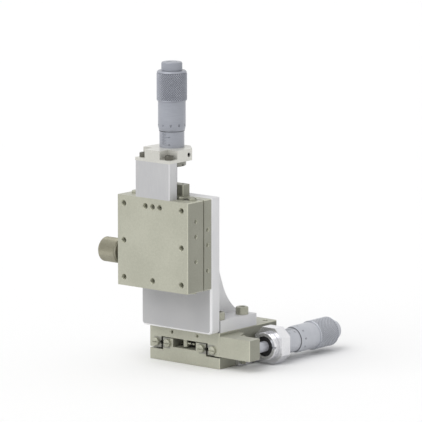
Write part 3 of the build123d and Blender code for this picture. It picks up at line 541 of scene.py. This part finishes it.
# sizes of the black ring of painted shade at the thimble's front edge
edgeShadeShape = dict(gap=0.02, ahead=0.1, foot=0.03, out=0.06, back=0.24)
capShape = dict(
    outerR=6.85, boreR=1.6, recessR=3.2, recess=1.6, round=0.5, roundIn=0.15, mouthRound=0.25,
    ridges=60, ridgeDepth=0.16, ridgeStart=0.5, ridgeShorter=1.3)
stemShadowShape = dict(boreR=3.6, outerR=6.65, thick=0.12)
bevelMarks = dict(count=50, start=0.3, short=1.4, long=2.3, line=0.2)
# the last marks lie under the thimble, and show when it is wound back
sleeveMarks = dict(step=0.5, short=1.9, long=2.8, line=0.13, radius=8.15, clear=2.2, under=8.0)
numberShape = dict(onBevel=1.9, onSleeve=2.0, thick=0.03, pastBevel=1.2, beside=3.9, count=10,
                   every=5, marks=10)
readAt = dict(upper=-90, lower=-80)  # degrees round each head, to the line that its scale is read on
knurl, ridge, seated = knurlTree(), ridgeTree(), seatedTree()
bevelScale, sleeveScale = bevelScaleTree(), sleeveScaleTree()


def headPlace(stageName):
    # the head's own frame: its z runs along the spindle, away from the tip
    low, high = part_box(stageName + "_thimble")
    middle = (low + high) / 2
    if stageName == "upper":
        return Matrix.Translation((middle.x, middle.y, 0)), low.z, 2
    turn = Matrix(((1, 0, 0), (0, 0, 1), (0, -1, 0))).to_4x4()
    return Matrix.Translation((middle.x, 0, middle.z)) @ turn, low.y, 1


def wrappedNumber(name, text, size, radius, along, turn, place, material):
    curve = bpy.data.curves.new(name, "FONT")
    curve.body, curve.size, curve.align_x, curve.align_y = text, size, "CENTER", "CENTER"
    curve.extrude = numberShape["thick"] * mm / 2
    curve.resolution_u = 3
    holder = link(name, curve)
    mesh = plainMesh(holder)
    remove(holder)
    for v in mesh.vertices:
        height = along + v.co.x
        out = radius + v.co.z
        angle = turn - v.co.y / radius
        v.co = (out * math.cos(angle), out * math.sin(angle), height)
    mesh.transform(place)
    mesh.materials.clear()
    mesh.materials.append(material)
    return link(name, mesh)


def mergePieces(name, pieces):
    work = bmesh.new()
    for piece in pieces:
        work.from_mesh(piece.data)
    mesh = meshOf(name, work)
    mesh.materials.append(pieces[0].data.materials[0])
    remove(*pieces)
    return link(name, mesh)


def thimbleHead(stageName, reading):
    place, edgeAt, axis = headPlace(stageName)
    chrome = finish["chromeUpright" if stageName == "upper" else "chromeLying"]
    body = stageName + "_thimble_set"
    s = {k: v * mm for k, v in thimbleShape.items()}
    t = {k: v * mm for k, v in knurlShape.items()}
    g = {k: v * mm for k, v in edgeShadeShape.items()}
    gripAt = edgeAt + s["bevel"] + s["plain"]
    end = gripAt + s["grip"]
    core = s["gripR"] - t["depth"]
    rootFrom, rootTo = gripAt + s["frontRimL"], end - s["backRimL"]
    outline = [
        (s["insideR"], edgeAt),
        (s["edgeR"] - s["edgeRound"], edgeAt),
        (s["edgeR"], edgeAt + s["edgeRound"]),
        (s["plainR"], edgeAt + s["bevel"]),
        (s["plainR"], gripAt),
        (core, gripAt),
        (core + s["frontRim"], gripAt + s["frontRimAt"]),
        (core, rootFrom),
        (core, rootTo),
        (core + s["backRim"], end - s["backRimAt"]),
        (core - s["backRound"], end - s["backRoundL"]),
        (core - s["backIn"], end),
        (s["boreR"], end),
        (s["boreR"], end - s["hub"]),
        (s["insideR"], end - s["hub"]),
    ]
    shell = lathe(stageName + "ThimbleBody", outline, chrome, place, 128)
    # faces of the grip's core take the darker finish, as painted shade between the teeth
    shell.data.materials.append(finish["knurlRoot"])
    back = place.inverted()
    for face in shell.data.polygons:
        middle = back @ face.center
        around = math.hypot(middle.x, middle.y)
        if rootFrom < middle.z < rootTo and around > s["plainR"]:
            face.material_index = 1
    settle(shell, body, "satin_chrome", stageName + "_thimble")
    # a black ring at the thimble's front edge, as painted shade in the gap over the sleeve
    edgeShade = [
        (s["insideR"] + g["gap"], edgeAt - g["ahead"]),
        (s["edgeR"] + g["foot"], edgeAt - g["ahead"]),
        (s["edgeR"] + g["out"], edgeAt + g["back"]),
        (s["insideR"] + g["gap"], edgeAt + g["back"]),
    ]
    settle(lathe(stageName + "ThimbleLip", edgeShade, finish["blackOxide"], place, 128), body, "black_screws")
    teeth = grow(stageName + "ThimbleKnurl", knurl, dict(
        Around=knurlShape["around"], Rows=knurlShape["rows"], Fill=knurlShape["fill"],
        Radius=core - t["sink"], Start=gripAt + t["start"], Depth=t["depth"] + t["over"],
        Length=s["grip"] - t["shorter"], Finish=chrome), place)
    settle(teeth, body, "satin_chrome")
    slope = (s["plainR"] - s["edgeR"]) / s["bevel"]
    marks = grow(stageName + "BevelScale", bevelScale, dict(
        Count=bevelMarks["count"], Radius=s["edgeR"], Slope=slope, Start=edgeAt + bevelMarks["start"] * mm,
        Short=bevelMarks["short"] * mm, Long=bevelMarks["long"] * mm, Line=bevelMarks["line"] * mm,
        Turn=reading, Finish=finish["scaleInk"]), place)
    settle(marks, body, "satin_chrome")
    numbers = []
    numbersAt = edgeAt + s["bevel"] + numberShape["pastBevel"] * mm
    for k in range(numberShape["count"]):
        turn = reading - 2 * math.pi * k / numberShape["count"]
        text = str(numberShape["every"] * k)
        size = numberShape["onBevel"] * mm
        numbers.append(wrappedNumber(
            f"n{k}", text, size, s["plainR"], numbersAt, turn, place, finish["scaleInk"]))
    settle(mergePieces(stageName + "BevelNumbers", numbers), body, "satin_chrome")
    return place, edgeAt, chrome


def sleeveMarkings(stageName, place, edgeAt, reading):
    body = "upper_carriage" if stageName == "upper" else "base"
    low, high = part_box(stageName + "_holder")
    shoulder = high.z if stageName == "upper" else high.y
    start = shoulder + sleeveMarks["clear"] * mm
    far = edgeAt + sleeveMarks["under"] * mm
    count = int((far - start) / (sleeveMarks["step"] * mm))
    marks = grow(stageName + "SleeveScale", sleeveScale, dict(
        Count=count, Step=sleeveMarks["step"] * mm, Radius=sleeveMarks["radius"] * mm, Start=start,
        Short=sleeveMarks["short"] * mm, Long=sleeveMarks["long"] * mm, Line=sleeveMarks["line"] * mm,
        Turn=reading, Finish=finish["scaleInk"]), place)
    settle(marks, body, "satin_chrome")
    numbers = []
    radius = sleeveMarks["radius"] * mm
    turn = reading + numberShape["beside"] * mm / radius
    for k in range(0, count, numberShape["marks"]):
        along = start + k * sleeveMarks["step"] * mm
        size = numberShape["onSleeve"] * mm
        numbers.append(wrappedNumber(
            f"s{k}", str(k // 2), size, radius, along, turn, place, finish["scaleInk"]))
    settle(mergePieces(stageName + "SleeveNumbers", numbers), body, "satin_chrome")


def ratchetCap(stageName, place, chrome):
    low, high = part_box(stageName + "_ratchet_cap")
    start, end = (low.z, high.z) if stageName == "upper" else (low.y, high.y)
    c = {k: v * mm for k, v in capShape.items()}
    core = c["outerR"] - c["ridgeDepth"]
    outline = [
        (c["boreR"], start),
        (core, start),
        (core, end - c["round"]),
        (core - c["roundIn"], end - c["roundIn"]),
        (core - c["round"], end),
        (c["recessR"] + c["mouthRound"], end),
        (c["recessR"], end - c["mouthRound"]),
        (c["recessR"], end - c["recess"]),
        (c["boreR"], end - c["recess"]),
    ]
    cap = lathe(stageName + "CapBody", outline, chrome, place, 96)
    settle(cap, stageName + "_ratchet_set", "satin_chrome", stageName + "_ratchet_cap")
    ridges = grow(stageName + "CapRidges", ridge, dict(
        Around=capShape["ridges"], Radius=core, Start=start + c["ridgeStart"], Depth=c["ridgeDepth"],
        Length=end - start - c["ridgeShorter"], Finish=chrome), place)
    settle(ridges, stageName + "_ratchet_set", "satin_chrome")


def stemShadow(stageName, place):
    # a black ring on the sleeve's end face, inside its nut, as painted shadow in the bore
    low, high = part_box(stageName + "_sleeve")
    front = low.z if stageName == "upper" else low.y
    inner, outer, ahead = (stemShadowShape[key] * mm for key in ("boreR", "outerR", "thick"))
    outline = [(inner, front - ahead), (outer, front - ahead), (outer, front), (inner, front)]
    ring = lathe(stageName + "StemFace", outline, finish["blackOxide"], place, 72)
    settle(ring, "upper_carriage" if stageName == "upper" else "base", "black_screws")


for stageName in ("upper", "lower"):
    reading = math.radians(readAt[stageName])
    place, edgeAt, chrome = thimbleHead(stageName, reading)
    sleeveMarkings(stageName, place, edgeAt, reading)
    ratchetCap(stageName, place, chrome)
    stemShadow(stageName, place)
print("micrometer heads made")


# the lock knobs

knobShape = dict(
    length=15.0, knobR=8.2, neckL=2.6, neckR=4.0, studR=2.0, bevel=0.8, faceIn=1.2, dishIn=1.5, dish=0.4,
    ridges=72, ridgeDepth=0.3, rim=1.0)


def lockKnob(stageName):
    low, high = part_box(stageName + "_lock_knob")
    k = {key: v * mm for key, v in knobShape.items()}
    middle = Vector((0, (low.y + high.y) / 2, (low.z + high.z) / 2))
    sideways = Matrix(((0, 0, -1), (0, 1, 0), (1, 0, 0))).to_4x4()  # its z runs to -X
    place = Matrix.Translation(middle) @ sideways
    tip, end = -high.x, -low.x
    start = end - k["length"]
    core = k["knobR"] - k["ridgeDepth"]
    rim = core - k["bevel"]
    outline = [
        (0, tip),
        (k["studR"], tip),
        (k["studR"], start - k["neckL"]),
        (k["neckR"], start - k["neckL"]),
        (k["neckR"], start),
        (rim, start),
        (core, start + k["bevel"]),
        (core, end - k["bevel"]),
        (rim, end),
        (rim - k["faceIn"], end),
        (rim - k["dishIn"], end - k["dish"]),
        (0, end - k["dish"]),
    ]
    knob = lathe(stageName + "KnobBody", outline, finish["knobNickel"], place, 96)
    settle(knob, stageName + "_lock", "knob_nickel", stageName + "_lock_knob")
    ridges = grow(stageName + "KnobRidges", ridge, dict(
        Around=knobShape["ridges"], Radius=core, Start=start + k["rim"], Depth=k["ridgeDepth"],
        Length=end - start - 2 * k["rim"], Finish=finish["knobNickel"]), place)
    settle(ridges, stageName + "_lock", "knob_nickel")


for stageName in ("lower", "upper"):
    lockKnob(stageName)
print("lock knobs made")


# the return springs: a coil with a hook at each end

stageBodies = dict(lower=("base", "lower_carriage"), upper=("lower_carriage", "upper_carriage"))
springShape = dict(
    outer=4.4, wire=0.62, pinRing=1.85, pegRing=1.45, hookStep=1.85, perTurn=14, pitch=1.22,
    hookSweep=330, hookTurn=18)  # the pitch in wires, the hooks in degrees


def returnSpring(stageName):
    low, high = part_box(stageName + "_return_spring")
    pinLow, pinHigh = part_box(stageName + "_spring_pin")
    pegLow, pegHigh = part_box(stageName + "_spring_peg")
    s = {k: v * mm for k, v in springShape.items()}
    axis = 2 if stageName == "upper" else 1
    side = 1 if stageName == "upper" else 2
    middle = (low + high) / 2
    radius, wire = (s["outer"] - s["wire"]) / 2, s["wire"]
    pinAt = ((pinLow + pinHigh) / 2)[axis]
    pegAt = ((pegLow + pegHigh) / 2)[axis]
    way = 1 if pegAt > pinAt else -1
    pinRing, pegRing = s["pinRing"], s["pegRing"]
    first = pinAt + way * (pinRing + s["hookStep"])
    last = pegAt - way * (pegRing + s["hookStep"])
    turns = round(abs(last - first) / (wire * springShape["pitch"]))

    def spot(along, across, up):
        p = middle.copy()
        p[axis], p[0], p[side] = along, middle.x + across, middle[side] + up
        return p

    sweep, hookTurn = springShape["hookSweep"], springShape["hookTurn"]
    path = [spot(pinAt + way * pinRing * math.cos(t), pinRing * math.sin(t), 0)
            for t in [math.radians(a) for a in range(-sweep, 1, hookTurn)]]
    for k in range(turns * springShape["perTurn"] + 1):
        t = 2 * math.pi * k / springShape["perTurn"]
        share = k / (turns * springShape["perTurn"])
        path.append(spot(first + (last - first) * share, radius * math.cos(t), radius * math.sin(t)))
    path += [spot(pegAt - way * pegRing * math.cos(t), 0, pegRing * math.sin(t))
             for t in [math.radians(a) for a in range(0, sweep + 1, hookTurn)]]
    curve = bpy.data.curves.new(stageName + "SpringPath", "CURVE")
    curve.dimensions = "3D"
    curve.bevel_depth, curve.bevel_resolution, curve.use_fill_caps = wire / 2, 1, True
    line = curve.splines.new("POLY")
    line.points.add(len(path) - 1)
    for point, p in zip(line.points, path):
        point.co = (*p, 1)
    holder = link(stageName + "SpringPath", curve)
    mesh = plainMesh(holder)
    remove(holder)
    mesh.materials.clear()
    mesh.materials.append(finish["springWire"])
    mesh.shade_smooth()
    coil = link(stageName + "ReturnCoil", mesh)
    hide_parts(stageName + "_return_spring")
    spot(first, 0, 0)
    spot(last, 0, 0)
    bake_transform(coil)


for stageName in ("lower", "upper"):
    returnSpring(stageName)
print("springs made")


# the screws

def hexRing(work, radius, height, steps=36):
    ring = []
    for k in range(steps):
        t = 2 * math.pi * k / steps
        inSide = (t % (math.pi / 3)) - math.pi / 6
        out = radius / math.cos(inSide)
        ring.append(work.verts.new((out * math.cos(t), out * math.sin(t), height)))
    return ring


# shares of the head's radius, the root's radius, the key or the head's height
headShape = dict(rim=0.09, rimIn=0.6, tip=0.7, point=0.3, mouth=1.12, mouthDeep=0.12, floor=0.42)
domeShape = dict(side=0.62, fall=0.28, steps=(0.96, 0.8, 0.55, 0.25, 0), cutWide=3, cutUp=0.95)


def socketScrew(name, headR, headH, key, shankR, rootR, shankL, length):
    # a cap screw stood on its seat at z = 0, with a hexagon socket and a softly turned head
    work = bmesh.new()
    steps = 36
    rim = headShape["rim"] * headR
    soft = headShape["rimIn"] * rim
    rings = []

    def circle(radius, height):
        turns = [2 * math.pi * k / steps for k in range(steps)]
        rings.append([work.verts.new((radius * math.cos(t), radius * math.sin(t), height)) for t in turns])

    circle(rootR * headShape["tip"], -shankL - length)
    circle(rootR, -shankL - length + headShape["point"] * rootR)
    circle(rootR, -shankL)
    circle(shankR, -shankL)
    circle(shankR, 0)
    circle(headR, 0)
    circle(headR, headH - 2 * rim)
    circle(headR - soft, headH - soft)
    circle(headR - 2 * rim, headH)
    rings.append(hexRing(work, key / 2 * headShape["mouth"], headH, steps))
    rings.append(hexRing(work, key / 2, headH - headShape["mouthDeep"] * key, steps))
    rings.append(hexRing(work, key / 2, headH * headShape["floor"], steps))
    for ring, after in zip(rings, rings[1:]):
        for k in range(steps):
            work.faces.new((ring[k], ring[(k + 1) % steps], after[(k + 1) % steps], after[k]))
    work.faces.new(rings[0][::-1])
    work.faces.new(rings[-1])
    bmesh.ops.recalc_face_normals(work, faces=work.faces)
    mesh = meshOf(name, work)
    soften(mesh)
    return link(name, mesh)


def slottedScrew(name, headR, headH, slot, rootR, length):
    # a low domed head with a driver's slot
    outline = [(0, -length), (rootR, -length), (rootR, 0), (headR, 0), (headR, domeShape["side"] * headH)]
    outline += [(headR * f, headH * (1 - domeShape["fall"] * f ** 2)) for f in domeShape["steps"]]
    blank = lathe(name + "Blank", outline, finish["screwNickel"], None, 32)
    work = bmesh.new()
    bmesh.ops.create_cube(work, size=1)
    for v in work.verts:
        up = v.co.z * headH + headH * domeShape["cutUp"]
        v.co = (v.co.x * headR * domeShape["cutWide"], v.co.y * slot, up)
    tool = link(name + "Cut", meshOf(name + "Cut", work))
    cut = blank.modifiers.new("slot", "BOOLEAN")
    cut.object, cut.operation, cut.solver = tool, "DIFFERENCE", "EXACT"
    mesh = plainMesh(blank)
    remove(blank, tool)
    soften(mesh)
    return link(name, mesh)


def placeScrews(name, node, body, shape, seats, slot="screw_steel", colour="screwNickel"):
    points = seatPoints(name + "Seats", seats)
    piece = grow(name, seated, dict(Seats=points, Shape=shape, Finish=finish[colour]))
    remove(points)
    settle(piece, body, slot, *([node] if node else []))
    return piece


def headSeats(node, axis, way, headH):
    # each screw's place under its head, from the solids in its node
    facing = Vector([way if k == axis else 0 for k in range(3)])
    seats = []
    for low, high in islands(node):
        middle = (low + high) / 2
        middle[axis] = (high[axis] if way > 0 else low[axis]) - way * headH
        seats.append((middle, facing))
    return seats


m5Cap = dict(headR=4.25, headH=5.0, key=4.0, shankR=2.5, rootR=2.05)
m3Cap = dict(headR=2.75, headH=3.0, key=2.5, shankR=1.5, rootR=1.2)
stopScrew = dict(headR=2.7, headH=2.0, slot=0.8, rootR=1.2, length=5.0)


def capShapeOf(name, screw, shankL, length, headH):
    s = {k: v * mm for k, v in screw.items()}
    s["headH"] = headH * mm
    return socketScrew(name, shankL=shankL * mm, length=length * mm, **s)


for name, node, body, screw, axis, way, shankL, bite, headH in (
        ("footScrews", "bracket_foot_screws", "lower_carriage", m5Cap, 2, 1, 8.0, 6.0, 5.0),
        ("wallScrews", "bracket_wall_screws", "lower_carriage", m5Cap, 1, 1, 4.5, 6.0, 5.0),
        ("flangeScrews", "lower_holder_screws", "base", m3Cap, 0, 1, 3.0, 5.2, 2.0),
        ("anvilScrews", "lower_anvil_screws", "lower_carriage", m3Cap, 0, 1, 4.5, 3.2, 3.0),
        ("riserScrews", "upper_riser_screws", "upper_carriage", m3Cap, 2, 1, 26.1, 8.0, 3.0),
        ("topAnvilScrews", "upper_anvil_screws", "lower_carriage", m3Cap, 2, 1, 5.0, 8.0, 3.0)):
    shape = capShapeOf(name + "Shape", screw, shankL, bite, headH)
    colour = "screwDark" if name == "riserScrews" else "screwNickel"  # dark ones on the ears
    placeScrews(name, node, body, shape, headSeats(node, axis, way, headH * mm), colour=colour)
    remove(shape)

stopShape = slottedScrew("stopShape", **{k: v * mm for k, v in stopScrew.items()})
for stageName, bodies in stageBodies.items():
    axis = 2 if stageName == "upper" else 1
    for kind, body in zip(("inner", "outer"), bodies):
        node = f"{stageName}_{kind}_stop_screws"
        found = islands(node)
        centre = sum((((low + high) / 2)[axis] for low, high in found)) / len(found)
        seats = []
        for low, high in found:
            middle = (low + high) / 2
            way = 1 if middle[axis] > centre else -1
            middle[axis] = (high[axis] if way > 0 else low[axis]) - way * stopScrew["headH"] * mm
            seats.append((middle, Vector([way if k == axis else 0 for k in range(3)])))
        placeScrews(stageName + kind.title() + "StopScrews", node, body, stopShape, seats)
remove(stopShape)
print("screws made")


# threads in the tapped holes

threadShape = dict(
    m5R=2.1, m5Crest=1.86, m5Pitch=0.8, m5Depth=6.4, m3R=1.5, m3Crest=1.32, m3Pitch=0.5, m3Depth=3.0,
    endR=1.25, endCrest=1.08, endDepth=5.0, wall=0.02)


def threadOf(name, radius, crest, pitch, depth):
    # ridges inside a hole, from its mouth down
    outline, down = [], 0.0
    while down + pitch < depth:
        outline += [(radius, -down), (crest, -down - pitch / 2)]
        down += pitch
    outside = radius + threadShape["wall"] * mm
    outline += [(radius, -down), (outside, -down), (outside, 0)]
    return lathe(name, outline, finish["nickelPlate"], None, 28)


t = {k: v * mm for k, v in threadShape.items()}
grid, pair = 24.5 * mm, 6.0 * mm
faceSpots = [(x, y) for x in (-grid, 0, grid) for y in (-grid, 0, grid) if x or y]
faceSpots += [(-pair, grid), (pair, grid)]
tableLow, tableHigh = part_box("upper_table")
tableMid = (tableLow + tableHigh) / 2
m5Thread = threadOf("m5Thread", t["m5R"], t["m5Crest"], t["m5Pitch"], t["m5Depth"])
seats = [(Vector((tableMid.x + x, tableLow.y, tableMid.z + y)), -yWay) for x, y in faceSpots]
placeScrews("faceThreads", None, "upper_carriage", m5Thread, seats, "nickel_plate", "nickelPlate")
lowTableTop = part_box("lower_table")[1].z
seats = [(Vector((x, grid, lowTableTop)), zWay) for x in (-grid, 0, grid)]
placeScrews("lowerTopThreads", None, "lower_carriage", m5Thread, seats, "nickel_plate", "nickelPlate")
remove(m5Thread)

sideThread = threadOf("sideThread", t["m3R"], t["m3Crest"], t["m3Pitch"], t["m3Depth"])
sideSpots, sideUp, baseSpots, baseUp = (17.0, 7.0, -9.5), 15.6 * mm, (10.0, 0.0, -17.0), 3.6 * mm
half = 30 * mm
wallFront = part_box("upper_base")[1].y
upperTableSeats, upperBaseSeats, lowerTableSeats, lowerBaseSeats = [], [], [], []
for way in (-1, 1):
    for k, spot in enumerate(sideSpots):
        if not (way < 0 and k == 2):  # that one holds the lock
            place = Vector((way * half, wallFront - sideUp, tableMid.z + spot * mm))
            upperTableSeats.append((place, xWay * way))
            if way < 0 or k > 0:  # the anvil covers the first on +X
                lowerTableSeats.append((Vector((way * half, -spot * mm, sideUp)), xWay * way))
    for k, spot in enumerate(baseSpots):
        upperBaseSeats.append((Vector((way * half, wallFront - baseUp, tableMid.z + spot * mm)), xWay * way))
        if way < 0 or k == 2:  # screws fill the other two on +X
            lowerBaseSeats.append((Vector((way * half, -spot * mm, baseUp)), xWay * way))
for name, body, seats in (
        ("upperTableThreads", "upper_carriage", upperTableSeats),
        ("upperBaseThreads", "lower_carriage", upperBaseSeats),
        ("lowerTableThreads", "lower_carriage", lowerTableSeats),
        ("lowerBaseThreads", "base", lowerBaseSeats)):
    placeScrews(name, None, body, sideThread, seats, "nickel_plate", "nickelPlate")
remove(sideThread)

endThread = threadOf("endThread", t["endR"], t["endCrest"], t["m3Pitch"], t["endDepth"])
nearX, farX, endUp = 10.8 * mm, 10.0 * mm, 19.8 * mm
seats = [(Vector((side * nearX, -half, endUp)), -yWay) for side in (-1, 1)]
seats += [(Vector((side * farX, half, endUp)), yWay) for side in (-1, 1)]
placeScrews("lowerEndThreads", None, "lower_carriage", endThread, seats, "nickel_plate", "nickelPlate")
seats = [(Vector((side * farX, wallFront - endUp, tableLow.z)), -zWay) for side in (-1, 1)]
placeScrews("upperEndThreads", None, "upper_carriage", endThread, seats, "nickel_plate", "nickelPlate")
remove(endThread)
print("threads made")


# floor, light and camera

floorShape = dict(reach=14.0, under=0.0002, rough=0.9, colour=(250, 250, 250))  # in metres
lightShape = dict(sky=0.64, sun=1.65, sunFrom=(-0.14, -0.62, 0.77), softness=60)
cameraShape = dict(azimuth=39.6, elevation=9.7, aim=(0.0, -2.5, 98.5), distance=3.0, across=278.9, clip=100)

floorMesh = bpy.data.meshes.new("floor")
r, down = floorShape["reach"], -floorShape["under"]
floorMesh.from_pydata([(-r, -r, down), (r, -r, down), (r, r, down), (-r, r, down)], [], [(0, 1, 2, 3)])
floor = link("floor", floorMesh)
paper = bpy.data.materials.new("paleFloor")
paper.use_nodes = True
paper.node_tree.nodes["Principled BSDF"].inputs["Base Color"].default_value = fromScreen(floorShape["colour"])
paper.node_tree.nodes["Principled BSDF"].inputs["Roughness"].default_value = floorShape["rough"]
floorMesh.materials.append(paper)

world = bpy.data.worlds.new("studio")
bpy.context.scene.world = world
world.use_nodes = True
tree = world.node_tree
tree.nodes.clear()
path, mix, out = (tree.nodes.new("ShaderNode" + kind) for kind in ("LightPath", "MixShader", "OutputWorld"))
sky, white = tree.nodes.new("ShaderNodeBackground"), tree.nodes.new("ShaderNodeBackground")
direct, seen = tree.nodes.new("ShaderNodeMath"), tree.nodes.new("ShaderNodeMath")
for node in (direct, seen):
    node.operation, node.use_clamp = "ADD", True
sky.inputs["Color"].default_value, sky.inputs["Strength"].default_value = (1, 1, 1, 1), lightShape["sky"]
white.inputs["Color"].default_value, white.inputs["Strength"].default_value = (1, 1, 1, 1), 1.0
tree.links.new(path.outputs["Is Camera Ray"], direct.inputs[0])
tree.links.new(path.outputs["Is Transmission Ray"], direct.inputs[1])
tree.links.new(direct.outputs[0], seen.inputs[0])
tree.links.new(path.outputs["Is Glossy Ray"], seen.inputs[1])
tree.links.new(seen.outputs[0], mix.inputs["Fac"])
tree.links.new(sky.outputs[0], mix.inputs[1])
tree.links.new(white.outputs[0], mix.inputs[2])
tree.links.new(mix.outputs[0], out.inputs["Surface"])

sunLight = bpy.data.lights.new("window", "SUN")
sunLight.energy, sunLight.angle = lightShape["sun"], math.radians(lightShape["softness"])
sun = bpy.data.objects.new("window", sunLight)
bpy.context.scene.collection.objects.link(sun)
sun.rotation_mode = "QUATERNION"
sun.rotation_quaternion = Vector(lightShape["sunFrom"]).to_track_quat("Z", "Y")

lens = bpy.data.cameras.new("camera")
camera = bpy.data.objects.new("camera", lens)
bpy.context.scene.collection.objects.link(camera)
a, e = math.radians(cameraShape["azimuth"]), math.radians(cameraShape["elevation"])
back = Vector((math.sin(a) * math.cos(e), -math.cos(a) * math.cos(e), math.sin(e)))
camera.rotation_mode = "QUATERNION"
camera.location = Vector(cameraShape["aim"]) * mm + back * cameraShape["distance"]
camera.rotation_quaternion = back.to_track_quat("Z", "Y")
lens.lens = lens.sensor_width * cameraShape["distance"] / (cameraShape["across"] * mm)
lens.clip_end = cameraShape["clip"]
bpy.context.scene.camera = camera
bpy.context.scene.view_settings.view_transform = "Standard"

print("scene made")
